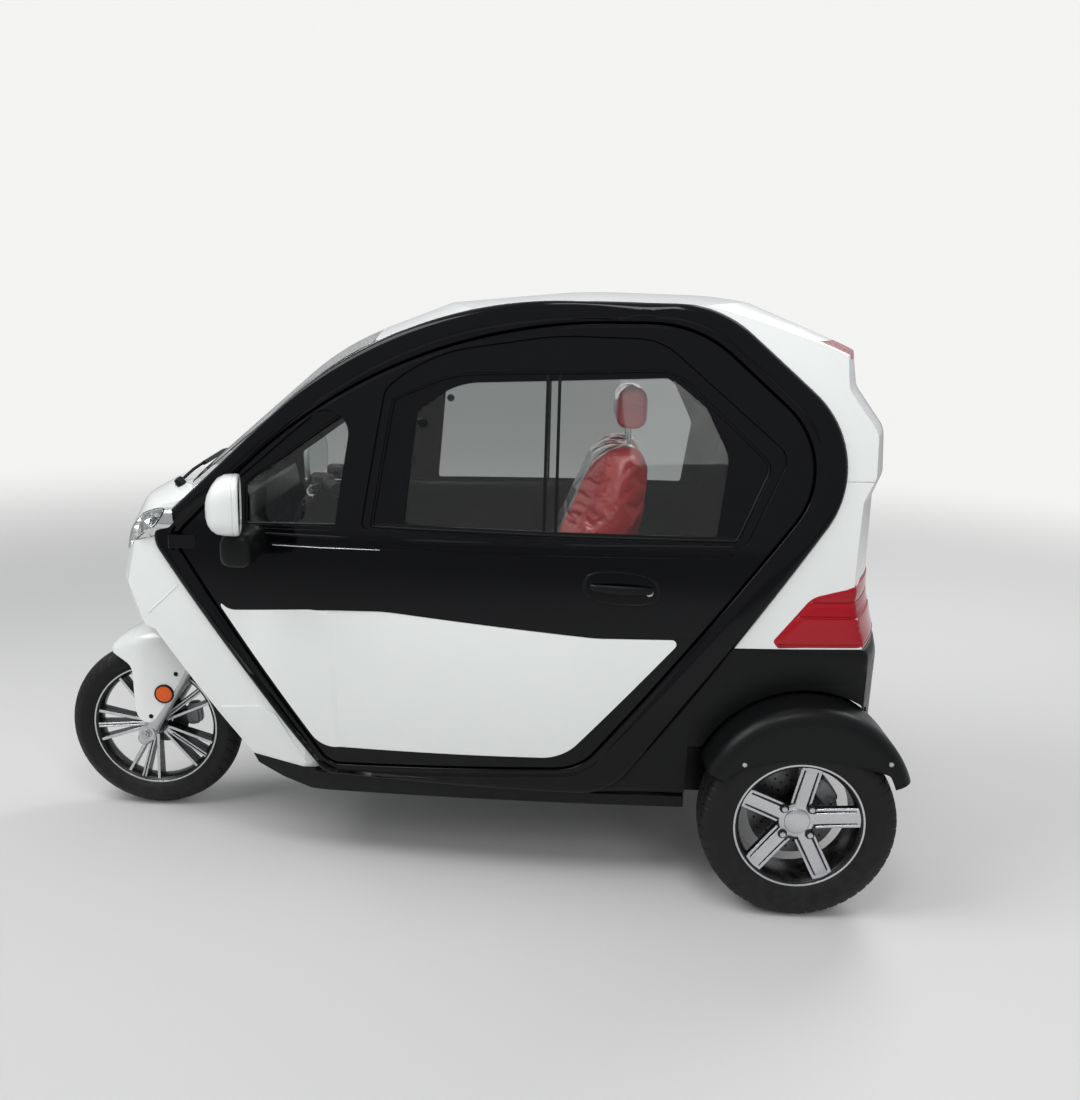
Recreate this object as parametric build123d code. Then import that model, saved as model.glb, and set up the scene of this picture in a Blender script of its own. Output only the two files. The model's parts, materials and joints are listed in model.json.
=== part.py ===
from build123d import *
from copy import deepcopy
from math import cos, radians, sin, sqrt
import os

os.makedirs("parts", exist_ok=True)

# Enclosed three wheeled car. Millimetres. +Y points to the tail, +X to the car's left, +Z up.
# The origin is on the floor, under the middle of the whole car.

# Wheels and axles
wheelbase = 1848
rear_axle_y = 915
front_axle_y = rear_axle_y - wheelbase
rear_track = 1008
rear_tyre_radius = 254
rear_tyre_width = 145
rear_rim_radius = 169
rear_rim_width = 118
rear_hub_bore = 12.5
front_tyre_radius = 258
front_tyre_width = 92
front_rim_radius = 188
front_rim_width = 60
front_hub_bore = 7.5
brake_disc_radius = 95
brake_disc_wall = 5

# Steering
rake = 31
fork_offset = 43
fork_leg_x = 82
slider_radius = 20
slider_length = 235
stanchion_radius = 14
crown_low, crown_high = 388, 422
stem_radius = 14
stem_length = 905
head_tube_wall = 7
head_tube_low, head_tube_high = 432, 600
grip_reach = 236
grip_sweep = 105
bar_radius = 11
grip_radius = 16

# Body sides: an arc in section turned about a far upright axis
body_half_width = 480
widest_y = 565
widest_z = 720
section_radius = 2400
plan_radius = 5000

# Nose, windscreen and tail turn about these upright axes, the roof about a low lengthwise one
nose_axis_y = -500
screen_axis_y = 400
tail_axis_y = 190
roof_axis_z = -475

# Walls, seams and clearances
panel_wall = 5
sheet_wall = 4
glass_wall = 4
lamp_depth = 25
hoop_proud = 12
hoop_depth = 58
seam = 0.6
door_gap = 6
door_skin = 12
door_depth = 42
door_step = 20
glass_lap = 14
running_clearance = 0.05
seat_clearance = 0.3

# Heights
sill_bottom = 208
sill_top = 264
floor_wall = 8
deck_top = 580
rail_size = 50
waist_z = 1125
bumper_top = 696
bumper_bottom = 420
cowl_top = 1036

# Number plate holes in the bumper
plate_z = 600
plate_hole_gap = 115
plate_hole_radius = 3.3

# Mudguards, brakes and springs at the rear
mudguard_radius = 277
mudguard_wall = 4
mudguard_rise, mudguard_back = 43, 13
mudguard_inner_x, mudguard_outer_x = 396, 590
axle_tube_radius = 32
motor_radius = 92
motor_length = 210
arm_x = 222
shock_x = 262

# Door hinge, upright, just outside the hoop at the door's front tip
hinge_y = -754
hinge_radius = 9
hinge_pin_radius = 4
hinge_bottom, hinge_leaf, hinge_middle = 850, 30, 38
door_open_limit = 65

# Corner tables of the side view. Columns: y, z, corner radius
hoop_outer = [(-345, 265, 60), (-835, 912, 62), (-143, 1551, 1100), (668, 1551, 290),
              (1082, 1192, 250), (430, 265, 160)]
door_outline = [(-330, 303, 60), (-752, 903, 50), (-157, 1497, 1400), (615, 1497, 300),
                (985, 1175, 205), (348, 345, 130)]
main_window = [(-208, 968, 8), (-156, 1298, 12), (0, 1366, 300), (560, 1390, 120),
               (812, 1160, 40), (728, 968, 15)]
quarter_window = [(-548, 955, 10), (-550, 1066, 25), (-236, 1294, 15), (-286, 968, 10)]
lower_panel = [(-632, 745, 12), (-354, 351, 75), (305, 372, 130), (600, 716, 12),
               (380, 712, 500), (-170, 752, 600), (-350, 742, 150)]
tail_lamp = [(832, 717, 8), (846, 699, 8), (1250, 712, 5), (1250, 872, 5), (1062, 872, 10),
             (1010, 852, 60), (925, 832, 60)]
roof_side = [(-208, 1700), (-208, 1440), (600, 1440), (760, waist_z + seam),
             (1400, waist_z + seam), (1400, 1700)]
screen_side = [(-1000, cowl_top - 90), (-1000, 1700), (-212, 1700), (-212, cowl_top + 6), (-700, cowl_top - 90)]
body_side = [(600, bumper_top + seam), (1400, bumper_top + seam), (1400, waist_z - seam),
             (700, waist_z - seam)]
bumper_side = [(380, sill_top), (632, sill_top), (632, bumper_bottom), (1400, bumper_bottom),
               (1400, bumper_top), (600, bumper_top)]
nose_foot = [(-1300, 100), (-1300, 740), (-1009, 703), (-826, 640), (-649, 416), (-553, 299),
             (-372, 268), (-372, 100)]
fender_side = [(-1047, 511, 6), (-1012, 552, 50), (-920, 590, 90), (-768, 575, 60), (-708, 505, 20), (-828, 402, 10),
               (-913, 284, 14), (-970, 306, 18), (-966, 468, 22), (-1038, 496, 6)]
fender_room = [(-1070, 150, 5), (-1070, 476, 5), (-1015, 546, 50), (-920, 585, 90), (-770, 570, 56), (-690, 480, 20),
               (-690, 150, 5)]

# Corner tables of the front view. Columns: x, z, corner radius
headlight_x = body_half_width - 174
headlight = [(headlight_x - 211, 838, 15), (headlight_x - 81, 852, 60), (headlight_x, 935, 18),
             (headlight_x - 6, 990, 20), (headlight_x - 106, 948, 70)]
rear_window = [(-285, 1185, 40), (-265, 1392, 50), (265, 1392, 50), (285, 1185, 40)]
roof_lamp = [(130, 1428, 8), (330, 1424, 8), (330, 1466, 8), (130, 1466, 8)]

# Profiles turned about upright axes. Columns: radius, z, corner radius
nose_radius = body_half_width - 4
nose_profile = [(nose_radius - 128, 270, 0), (nose_radius, 765, 25), (nose_radius - 21, 890, 160),
                (nose_radius - 71, 985, 60), (nose_radius - 176, 1045, 0)]
screen_profile = [(1360, 240, 0), (1206, 1000, 10), (735, 1420, 700), (180, 1640, 0)]
tail_profile = [(993, 240, 0), (1001.3, 640, 60), (956, 800, 150), (955, 1075, 30), (977, 1135, 40),
                (970, 1245, 60), (890, 1352, 60), (848, 1640, 0)]
# The roof's profile. Columns: y, z, corner radius
roof_profile = [(-700, 1468, 0), (330, 1579, 1500), (690, 1575, 900), (1250, 1478, 0)]


# Tools for faces and solids
def corners(table):
    return [(row[0], row[1]) for row in table]


def rounded_face(table, grow=0):
    """Closed face with each corner rounded by its own radius."""
    radii = [row[2] for row in table]
    face = make_face(FilletPolyline(*corners(table), radius=radii, close=True))
    return offset(face, grow) if grow else face


def plain_face(points):
    return make_face(Polyline(*points, close=True))


def side_prism(face, low_x=-700, high_x=700):
    """A side view face, drawn in Y and Z, drawn out along X."""
    plane = Plane((low_x, 0, 0), x_dir=(0, 1, 0), z_dir=(1, 0, 0))
    return extrude(plane * face, high_x - low_x, dir=(1, 0, 0))


def front_prism(face, low_y, high_y):
    """A front view face, drawn in X and Z, drawn out along Y."""
    plane = Plane((0, high_y, 0), x_dir=(1, 0, 0), z_dir=(0, -1, 0))
    return extrude(plane * face, high_y - low_y, dir=(0, -1, 0))


def box_between(low, high):
    """A plain box from its lowest to its highest corner."""
    centre = [(low[i] + high[i]) / 2 for i in range(3)]
    return Pos(*centre) * Box(*[high[i] - low[i] for i in range(3)])


def rod(start, end, radius):
    """A round bar between two points."""
    path = Vector(*end) - Vector(*start)
    return extrude(Plane(start, z_dir=path) * Circle(radius), path.length)


def turned(points, arc=360):
    """A ring about the X axis, from a closed outline of x and radius."""
    return revolve(plain_face(points), axis=Axis.X, revolution_arc=arc)


def soft_block(low, high, upright, rest):
    """A box with rounded edges: the upright ones by one radius, the rest by a smaller one."""
    block = box_between(low, high)
    block = fillet(block.edges().filter_by(Axis.Z), upright)
    return fillet(block.faces().sort_by(Axis.Z)[0].edges() + block.faces().sort_by(Axis.Z)[-1].edges(), rest)


def mirrored(solid):
    return mirror(solid, about=Plane.YZ)


def pair(solid):
    return [solid, mirrored(solid)]


def one(shape):
    """The largest solid of a shape, without slivers."""
    return max(shape.solids(), key=lambda solid: solid.volume)


def save(name, *shapes):
    """Writes one named piece, of one or more solids that don't touch."""
    solids = [solid for shape in shapes for solid in shape.solids()]
    export_step(solids[0] if len(solids) == 1 else Compound(solids), f"parts/{name}.step")


# Forms of the body
def side_x(y, z, inset=0):
    """X of the left body side at a point of the side view."""
    drop = section_radius - sqrt((section_radius - inset) ** 2 - (z - widest_z) ** 2)
    return body_half_width - plan_radius + sqrt((plan_radius - drop) ** 2 - (y - widest_y) ** 2)


def side_turn(face, half_angle):
    """Turns a section of the body side about its far upright axis."""
    axis = Axis((body_half_width - plan_radius, widest_y, 0), (0, 0, 1))
    plane = Plane((0, widest_y, 0), x_dir=(1, 0, 0), z_dir=(0, -1, 0))
    return revolve(plane * face, axis=axis, revolution_arc=2 * half_angle).rotate(axis, -half_angle)


def side_band(outer_inset, inner_inset):
    """A shell that follows the left body side between two insets."""
    ring = Circle(section_radius - outer_inset) - Circle(section_radius - inner_inset)
    window = Pos(body_half_width - 150, 850) * Rectangle(500, 1500)
    return side_turn(Pos(body_half_width - section_radius, widest_z) * ring & window, 20)


def between_sides(inset):
    """The solid between both body sides."""
    disc = Pos(body_half_width - section_radius, widest_z) * Circle(section_radius - inset)
    half = side_turn(disc & Pos(-50, 850) * Rectangle(1300, 1660), 25)
    return half & mirrored(half)


def turned_form(profile, axis_y, inset):
    """A solid of revolution about an upright axis, moved in by inset."""
    table = [(radius - inset, z, corner) for radius, z, corner in profile]
    line = FilletPolyline(*corners(table), radius=[row[2] for row in table[1:-1]])
    closing = Polyline(line @ 1, (0, table[-1][1]), (0, table[0][1]), line @ 0)
    plane = Plane((0, axis_y, 0), x_dir=(1, 0, 0), z_dir=(0, -1, 0))
    return revolve(plane * make_face([line, closing]), axis=Axis((0, axis_y, 0), (0, 0, 1)))


def roof_form(inset):
    """Everything under the crowned roof, turned about a low lengthwise axis."""
    table = [(y, z - inset - roof_axis_z, corner) for y, z, corner in roof_profile]
    line = FilletPolyline(*corners(table), radius=[row[2] for row in table[1:-1]])
    closing = Polyline(line @ 1, (table[-1][0], 0), (table[0][0], 0), line @ 0)
    plane = Plane((0, 0, roof_axis_z), x_dir=(0, 1, 0), z_dir=(1, 0, 0))
    axis = Axis((0, 0, roof_axis_z), (0, 1, 0))
    return revolve(plane * make_face([line, closing]), axis=axis, revolution_arc=60).rotate(axis, -30)


def cabin_form(inset):
    """The cabin's form, from the windscreen over the roof to the tail."""
    form = between_sides(inset) & turned_form(screen_profile, screen_axis_y, inset)
    return form & roof_form(inset) & turned_form(tail_profile, tail_axis_y, inset)


def nose_form(inset):
    """The nose from its foot to the cowl, ahead of the cabin."""
    form = between_sides(hoop_proud / 3 + inset) & turned_form(nose_profile, nose_axis_y, inset)
    return form & box_between((-500, -1100, 200), (500, -345, cowl_top - inset))


def arch_form(grow):
    """The tunnel above and behind the front wheel."""
    points = [(-1300, 150), (-556 + grow, 150), (-585 + grow, 668 + grow), (-1300, 668 + grow)]
    face = make_face(FilletPolyline(*points, radius=[2, 30, 60, 2], close=True))
    return side_prism(face, -arch_half_width - grow, arch_half_width + grow)


arch_half_width = 226
cabin_outer = cabin_form(0)
cabin_inner = cabin_form(panel_wall)
glass_inner = cabin_form(2 * panel_wall)
lamp_back = cabin_form(lamp_depth)
hoop_outline = rounded_face(hoop_outer)
hoop_seam = side_band(-2 * hoop_proud, hoop_depth + seam) & side_prism(rounded_face(hoop_outer, seam))
hoop_seams = hoop_seam + mirrored(hoop_seam)


def panel(outer, inner, region, *cuts, hollow_first=False):
    """The wall between two forms within a region, less its cuts. Works on copies."""
    piece = deepcopy(outer) & region
    for cut in (inner, *cuts) if hollow_first else (*cuts, inner):
        piece = piece - deepcopy(cut)
    return one(piece)


# Glossy hoops that frame the doors, each with a stepped lip and two hinge knuckles
def knuckle(low, high, bore):
    place = Pos(hinge_x, hinge_y, (low + high) / 2)
    ring = place * Cylinder(hinge_radius, high - low)
    return ring - place * Cylinder(bore, high - low) if bore else ring


door_face = rounded_face(door_outline)
hinge_x = side_x(hinge_y, hinge_bottom) + hoop_proud + hinge_radius - 1
hinge_top = hinge_bottom + 2 * hinge_leaf + hinge_middle
hoop = (side_band(-hoop_proud, hoop_depth) & side_prism(hoop_outline)) - side_prism(offset(door_face, door_gap))
lip = side_band(door_skin + door_gap, hoop_depth) & side_prism(offset(door_face, door_gap + 1))
hoop = hoop + (lip - side_prism(offset(door_face, door_gap - door_step)))
for low in (hinge_bottom, hinge_top - hinge_leaf):
    hoop = hoop + knuckle(low, low + hinge_leaf, 0)
hoop = hoop + Pos(hinge_x, hinge_y, (hinge_bottom + hinge_top) / 2) * Cylinder(
    hinge_pin_radius, hinge_top - hinge_bottom)
hoop = one(hoop)
save("left_hoop", hoop)
save("right_hoop", mirrored(hoop))

# Roof shell down to the waist, with the rear window and two lamps under its lip
window_face = rounded_face(rear_window)
window_cut = front_prism(rounded_face(rear_window, seam), 900, 1300)
roof_lamp_face = rounded_face(roof_lamp)
roof_lamp_cut = front_prism(rounded_face(roof_lamp, seam), 900, 1300)
roof = panel(cabin_outer, cabin_inner, side_prism(plain_face(roof_side)), hoop_seams, window_cut,
             roof_lamp_cut, mirrored(roof_lamp_cut))
save("roof_panel", roof)
save("rear_window", panel(cabin_outer, cabin_inner, front_prism(window_face, 900, 1300)))
lamp = panel(cabin_outer, lamp_back, front_prism(roof_lamp_face, 900, 1300), hoop_seams)
save("roof_lamps", *pair(lamp))

# Windscreen, set back from the hoops
screen = panel(cabin_inner, glass_inner, side_prism(plain_face(screen_side)), hoop_seams,
               nose_form(-seam), hollow_first=True)
save("windscreen", screen)

# White tail body with its lamps, and the black bumper that wraps the lower body
tail_lamp_solid = side_prism(rounded_face(tail_lamp), 235, 700)
tail_lamp_cut = side_prism(rounded_face(tail_lamp, seam), 235 - seam, 700)
tail = panel(cabin_outer, cabin_inner, side_prism(plain_face(body_side)), hoop_seams,
             tail_lamp_cut, mirrored(tail_lamp_cut))
save("tail_body", tail)
lamp = panel(cabin_outer, lamp_back, tail_lamp_solid, hoop_seams)
save("tail_lamps", *pair(lamp))
guard_y, guard_z = rear_axle_y + mudguard_back, rear_tyre_radius + mudguard_rise
arch_cut = Pos(0, guard_y, guard_z) * Rot(0, 90, 0) * Cylinder(mudguard_radius + 10, 400)
arch_cut = Pos(mudguard_inner_x + 200, 0, 0) * arch_cut
bumper = panel(cabin_outer, cabin_inner, side_prism(plain_face(bumper_side)), hoop_seams,
               arch_cut, mirrored(arch_cut))
for side in (-1, 1):
    bumper = bumper - front_prism(Pos(side * plate_hole_gap / 2, plate_z) * Circle(plate_hole_radius), 1100, 1300)
save("rear_bumper", one(bumper))

# Nose with its wheel arch, liner and headlights
headlight_cut = front_prism(rounded_face(headlight, seam), -1100, -600)
glass_room = cabin_form(panel_wall - seam) & box_between((-500, -900, cowl_top - 60), (500, 0, 1200))
foot_cut = side_prism(plain_face(nose_foot))
nose_outer = nose_form(0)
nose_inner = nose_form(panel_wall)
nose = panel(nose_outer, nose_inner, box_between((-500, -1100, 200), (500, -350, 1100)), hoop_seams,
             arch_form(0), foot_cut, glass_room, headlight_cut, mirrored(headlight_cut))
save("nose_panel", nose)
headlight_solid = panel(nose_outer, nose_form(lamp_depth), front_prism(rounded_face(headlight), -1100, -600),
                        hoop_seams)
save("headlights", *pair(headlight_solid))

# Frame under the floor: two kicked-up rails and their cross members
rail_low = sill_bottom + 10
rail_high = rail_low + rail_size
rail_x = 262
deck_rail = deck_top - floor_wall - seat_clearance
rail_line = [(-440, rail_low), (632, rail_low), (712, deck_rail - rail_size), (1080, deck_rail - rail_size),
             (1080, deck_rail), (680, deck_rail), (602, rail_high), (-520, rail_high),
             (-520, rail_high - 18)]
rail = side_prism(plain_face(rail_line), rail_x - rail_size / 2, rail_x + rail_size / 2)
save("frame_rails", *pair(rail))
half_gap = rail_x - rail_size / 2 - seat_clearance
cross_members = [(-440, rail_low), (-60, rail_low), (380, rail_low), (760, deck_rail - rail_size),
                 (1050, deck_rail - rail_size)]
save("cross_members", *[
    box_between((-half_gap, y - 20, z + 5), (half_gap, y + 20, z + rail_size - 5))
    for y, z in cross_members])

# Floor, rear deck and the panel between them
trim = hoop_depth + seat_clearance
floor_low = rail_high + seat_clearance
floor_top = floor_low + floor_wall
floor_line = [(-540, floor_low), (601.6, floor_low), (679.6, deck_top - floor_wall), (1100, deck_top - floor_wall),
              (1100, deck_top), (672, deck_top), (594, floor_top), (-540, floor_top)]
floor = side_prism(plain_face(floor_line)) & between_sides(trim) & lamp_back
for side in (-1, 1):
    beside = side * (mudguard_inner_x - seat_clearance + 100)
    floor = floor - Pos(beside, 900, 500) * Box(200, 620, 400)
save("floor_pan", one(floor))

# Sills under the hoops
sill_x = rail_x + rail_size / 2 + seat_clearance
sill_section = [(sill_x, sill_bottom), (338, sill_bottom), (470, sill_top - 20), (470, 300),
                (sill_x + 22, 300), (sill_x + 22, sill_top + 0.5), (sill_x, sill_top + 0.5)]
sill = front_prism(plain_face(sill_section), -553, 632) & between_sides(2)
sill = sill & side_prism(plain_face([(-553, 298.3), (-540, 272), (-471, 236), (-391, 209), (-330, 200), (700, 200),
                                     (700, 265), (-371, 265), (-373, 267.5)]))
save("sills", *pair(one(sill)))

# Wheel arch liner, closed against the cabin, with a hole for the steering head
liner = (arch_form(sheet_wall) - arch_form(0)) & nose_inner & box_between((-400, -1200, sill_top), (400, 0, 900))


def steering_point(along, ahead=0, across=0):
    """A point on or beside the raked steering axis."""
    foot_y = front_axle_y + fork_offset * cos(radians(rake))
    foot_z = front_tyre_radius - fork_offset * sin(radians(rake))
    y = foot_y + along * sin(radians(rake)) - ahead * cos(radians(rake))
    return (across, y, foot_z + along * cos(radians(rake)) + ahead * sin(radians(rake)))


head_radius = stem_radius + running_clearance + head_tube_wall
liner = one(liner - foot_cut - rod(steering_point(300), steering_point(700), head_radius + 3))
save("wheel_arch_liner", liner)

# Steering head on its posts, in front of the driver
head = rod(steering_point(head_tube_low), steering_point(head_tube_high), head_radius)
for side in (-1, 1):
    head = head + rod((side * 150, -522, floor_low), steering_point(head_tube_high - 40), 14)
head = head - rod(steering_point(300), steering_point(800), stem_radius + running_clearance)
head = head & box_between((-400, -1200, floor_top + seat_clearance), (400, 0, 1200))
save("steering_head", one(head - arch_form(sheet_wall + 1)))

# Fork: sliders, stanchions, crown and stem
fork = rod(steering_point(crown_low + 5), steering_point(stem_length), stem_radius)
for side in (-1, 1):
    leg = side * fork_leg_x
    fork = fork + rod(steering_point(-28, fork_offset, leg), steering_point(slider_length, fork_offset, leg),
                      slider_radius)
    fork = fork + rod(steering_point(slider_length, fork_offset, leg),
                      steering_point(crown_high, fork_offset, leg), stanchion_radius)
crown_plane = Plane(steering_point(crown_low), x_dir=(1, 0, 0), z_dir=Vector(0, sin(radians(rake)), cos(radians(rake))))
crown = Pos(0, -fork_offset / 2) * RectangleRounded(2 * (fork_leg_x + 24), fork_offset + 56, 22)
fork = fork + extrude(crown_plane * crown, crown_high - crown_low)
axle_bore = rod((-130, front_axle_y, front_tyre_radius), (130, front_axle_y, front_tyre_radius), front_hub_bore)
save("fork", one(fork - axle_bore))

# Front axle with its nuts
axle = rod((-104, front_axle_y, front_tyre_radius), (104, front_axle_y, front_tyre_radius),
           front_hub_bore - running_clearance)
for side in (-1, 1):
    axle = axle + Pos(side * 107, front_axle_y, front_tyre_radius) * Rot(0, 90, 0) * extrude(
        RegularPolygon(11, 6), 3, both=True)
save("front_axle", one(axle))

# Handlebar
bar_centre = steering_point(stem_length + 14)
bar = Pos(*bar_centre) * Box(70, 44, 34)
bar = bar - rod(steering_point(300), steering_point(stem_length), stem_radius + running_clearance)
for side in (-1, 1):
    grip_end = (side * grip_reach, bar_centre[1] + grip_sweep, bar_centre[2] + 12)
    grip_start = (side * (grip_reach - 100), bar_centre[1] + grip_sweep * 0.55, bar_centre[2] + 10)
    bar = bar + rod((side * 20, bar_centre[1], bar_centre[2]), grip_start, bar_radius)
    bar = bar + rod(grip_start, grip_end, grip_radius)
save("handlebar", one(bar))

# Front mudguard, a shell over the wheel with side plates beside the fork legs
fender_plan = [(-60, -1053, 30), (60, -1053, 30), (112, -958, 60), (112, -600, 5), (-112, -600, 5),
               (-112, -958, 60)]


def plan_prism(table, grow):
    return extrude(rounded_face(table, grow), 900, dir=(0, 0, 1))


fender = side_prism(rounded_face(fender_side), -112, 112) & plan_prism(fender_plan, 0)
fender = fender - (side_prism(rounded_face(fender_room), -108, 108) & plan_prism(fender_plan, -sheet_wall))
for side in (-1, 1):
    leg = side * fork_leg_x
    fender = fender - rod(steering_point(slider_length, fork_offset, leg), steering_point(crown_high, fork_offset, leg),
                          stanchion_radius + 3)
    boss = steering_point(slider_length - 90, fork_offset)[1:]
    fender = fender + rod((side * (fork_leg_x + slider_radius + seat_clearance), *boss), (side * 110, *boss), 12)
save("front_mudguard", one(fender))

# Rear axle: a tube with the motor in the middle, brake plates, stubs and trailing arms
wheel_x = rear_track / 2
plate_x = 424
axle_z = rear_tyre_radius
rear_axle = rod((-plate_x, rear_axle_y, axle_z), (plate_x, rear_axle_y, axle_z), axle_tube_radius)
rear_axle = rear_axle + rod((-motor_length / 2, rear_axle_y, axle_z), (motor_length / 2, rear_axle_y, axle_z),
                            motor_radius)
rear_axle = rear_axle + rod((-wheel_x - 20, rear_axle_y, axle_z), (wheel_x + 20, rear_axle_y, axle_z),
                            rear_hub_bore - running_clearance)
pivot_y, pivot_z = 560, rail_low + rail_size / 2
arm_line = [(pivot_y, pivot_z - 13), (rear_axle_y, axle_z - 24), (rear_axle_y, axle_z + 9), (pivot_y, pivot_z + 12)]
for side in (-1, 1):
    plate = rod((side * (plate_x - 12), rear_axle_y, axle_z), (side * plate_x, rear_axle_y, axle_z),
                brake_disc_radius - 12)
    arm = side_prism(plain_face(arm_line), side * arm_x - 9, side * arm_x + 9)
    pivot = rod((side * (rail_x - rail_size / 2 - seat_clearance), pivot_y, pivot_z),
                (side * (arm_x - 14), pivot_y, pivot_z), 20)
    rear_axle = rear_axle + plate + arm + pivot
save("rear_axle", one(rear_axle))

# Springs with their dampers, between the axle and the raised rails
shock_low = axle_z + axle_tube_radius + seat_clearance
shock_high = deck_rail - rail_size - seat_clearance
shock = Pos(shock_x, rear_axle_y, 0) * revolve(
    Plane.XZ * plain_face([(0, shock_low), (22, shock_low), (22, shock_low + 30), (36, shock_low + 34),
                           (36, shock_low + 44), (28, shock_low + 44), (28, shock_high - 34),
                           (36, shock_high - 34), (36, shock_high - 24), (20, shock_high - 20),
                           (20, shock_high), (0, shock_high)]), axis=Axis.Z)
save("rear_shocks", *pair(one(shock)))

# Rear mudguards: rolled shells with a turned-down outer edge, each on a flat foot
guard_side = mudguard_outer_x - mudguard_wall
guard_inside = mudguard_radius - mudguard_wall
skirt_radius = rear_rim_radius - mudguard_rise
guard_profile = [(mudguard_inner_x, mudguard_radius), (mudguard_outer_x - 34, mudguard_radius),
                 (mudguard_outer_x - 10, mudguard_radius - 9), (mudguard_outer_x, mudguard_radius - 30),
                 (mudguard_outer_x, skirt_radius), (guard_side, skirt_radius),
                 (guard_side, mudguard_radius - 31), (guard_side - 9, mudguard_radius - 13),
                 (mudguard_outer_x - 34, guard_inside), (mudguard_inner_x, guard_inside)]
guard_front, guard_rear = 159, 19
guard = Pos(0, guard_y, guard_z) * turned(guard_profile, guard_front - guard_rear).rotate(Axis.X, guard_rear)
skirt_line = [(-400, -200, 0), (-216, 120, 30), (-140, 168, 90), (0, 186, 400), (150, 176, 200), (272, 138, 30),
              (400, -200, 0)]
skirt_cut = plain_face([(rear_axle_y + y, axle_z + z) for y, z, corner in skirt_line])
guard = guard - side_prism(skirt_cut, mudguard_inner_x + 100, mudguard_outer_x + 10)
foot = box_between((mudguard_inner_x - 34, rear_axle_y - 60, deck_top + seat_clearance),
                   (mudguard_inner_x + mudguard_wall, rear_axle_y + 60, deck_top + seat_clearance + mudguard_wall))
web = box_between((mudguard_inner_x, rear_axle_y - 60, guard_z + guard_inside - 12),
                  (mudguard_inner_x + mudguard_wall, rear_axle_y + 60, deck_top + seat_clearance + mudguard_wall))
foot = foot + web
save("rear_mudguards", *pair(one(guard + foot)))


# Wheels
def tyre(radius, width, seat_radius, bead_x, shoulder):
    """A tyre section with a crowned tread and rounded walls."""
    half = width / 2
    wall = seat_radius + 0.45 * (radius - seat_radius)
    right = [(bead_x, seat_radius), (bead_x + 1, seat_radius + 14), (half - 4, wall - 16), (half, wall),
             (half - 2, wall + 0.3 * (radius - wall)), (half - shoulder, radius - 0.22 * shoulder)]
    crown = [(half - 2.2 * shoulder, radius)]
    left = [(-x, r) for x, r in reversed(right + crown)]
    return turned(right + crown + left)


def barrel(radius, width, depth, wall):
    """A rim barrel with a flange at each edge."""
    half = width / 2
    seat = radius - depth
    outer = [(-half, radius), (-half + 4, radius), (-half + 5, seat), (half - 5, seat), (half - 4, radius),
             (half, radius)]
    inner = [(half, seat - 4), (half - 8, seat - wall), (-half + 8, seat - wall), (-half, seat - 4)]
    return turned(outer + inner)


rear_seat = rear_rim_radius - 12
rear_wheel = barrel(rear_rim_radius, rear_rim_width, 12, 6)
spoke_face_x = rear_rim_width / 2 - 9
spoke_end = rear_seat - 5
spoke = plain_face([(-30, 20), (-26, 60), (-25, spoke_end), (25, spoke_end), (26, 60), (30, 20)])
groove = plain_face([(15, 50), (12, rear_seat - 14), (15, rear_seat - 14), (20, 50)])
spoke_solid = Plane((spoke_face_x - 16, 0, 0), x_dir=(0, 1, 0), z_dir=(1, 0, 0)) * spoke
spoke_solid = extrude(spoke_solid, 16, dir=(1, 0, 0))
for mark in (groove, mirror(groove, about=Plane.YZ)):
    cut = Plane((spoke_face_x - 6, 0, 0), x_dir=(0, 1, 0), z_dir=(1, 0, 0)) * mark
    spoke_solid = spoke_solid - extrude(cut, 10, dir=(1, 0, 0))
for i in range(5):
    rear_wheel = rear_wheel + spoke_solid.rotate(Axis.X, 72 * i)
hub_front = spoke_face_x + 4
rear_wheel = rear_wheel + rod((-62, 0, 0), (hub_front, 0, 0), 38)
rear_wheel = rear_wheel + rod((-62, 0, 0), (-50, 0, 0), brake_disc_radius)
rear_wheel = rear_wheel - rod((-70, 0, 0), (24, 0, 0), rear_hub_bore)
rear_wheel = Pos(wheel_x, rear_axle_y, axle_z) * one(rear_wheel)
rear_tyre = Pos(wheel_x, rear_axle_y, axle_z) * tyre(
    rear_tyre_radius, rear_tyre_width, rear_seat + seat_clearance, rear_rim_width / 2 - 6, 18)
for side, turn in (("left", lambda solid: solid), ("right", mirrored)):
    save(f"rear_{side}_wheel", turn(rear_wheel))
    save(f"rear_{side}_tyre", turn(rear_tyre))

front_seat = front_rim_radius - 11
front_wheel = barrel(front_rim_radius, front_rim_width, 11, 6)
for i in range(5):
    for lean in (-1, 1):
        blade = plain_face([(lean * 2 - 7, 18), (lean * 20 - 8, front_seat - 5), (lean * 20 + 8, front_seat - 5),
                            (lean * 2 + 7, 18)])
        solid = extrude(Plane((front_rim_width / 2 - 18, 0, 0), x_dir=(0, 1, 0), z_dir=(1, 0, 0)) * blade, 12,
                        dir=(1, 0, 0))
        front_wheel = front_wheel + solid.rotate(Axis.X, 72 * i + 36)
hub_half = fork_leg_x - slider_radius - 6
front_wheel = front_wheel + rod((-hub_half, 0, 0), (hub_half, 0, 0), 26)
front_wheel = front_wheel - rod((-hub_half - 5, 0, 0), (hub_half + 5, 0, 0), front_hub_bore)
save("front_wheel", Pos(0, front_axle_y, front_tyre_radius) * one(front_wheel))
save("front_tyre", Pos(0, front_axle_y, front_tyre_radius) * tyre(
    front_tyre_radius, front_tyre_width, front_seat + seat_clearance, front_rim_width / 2 - 6, 15))

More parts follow.
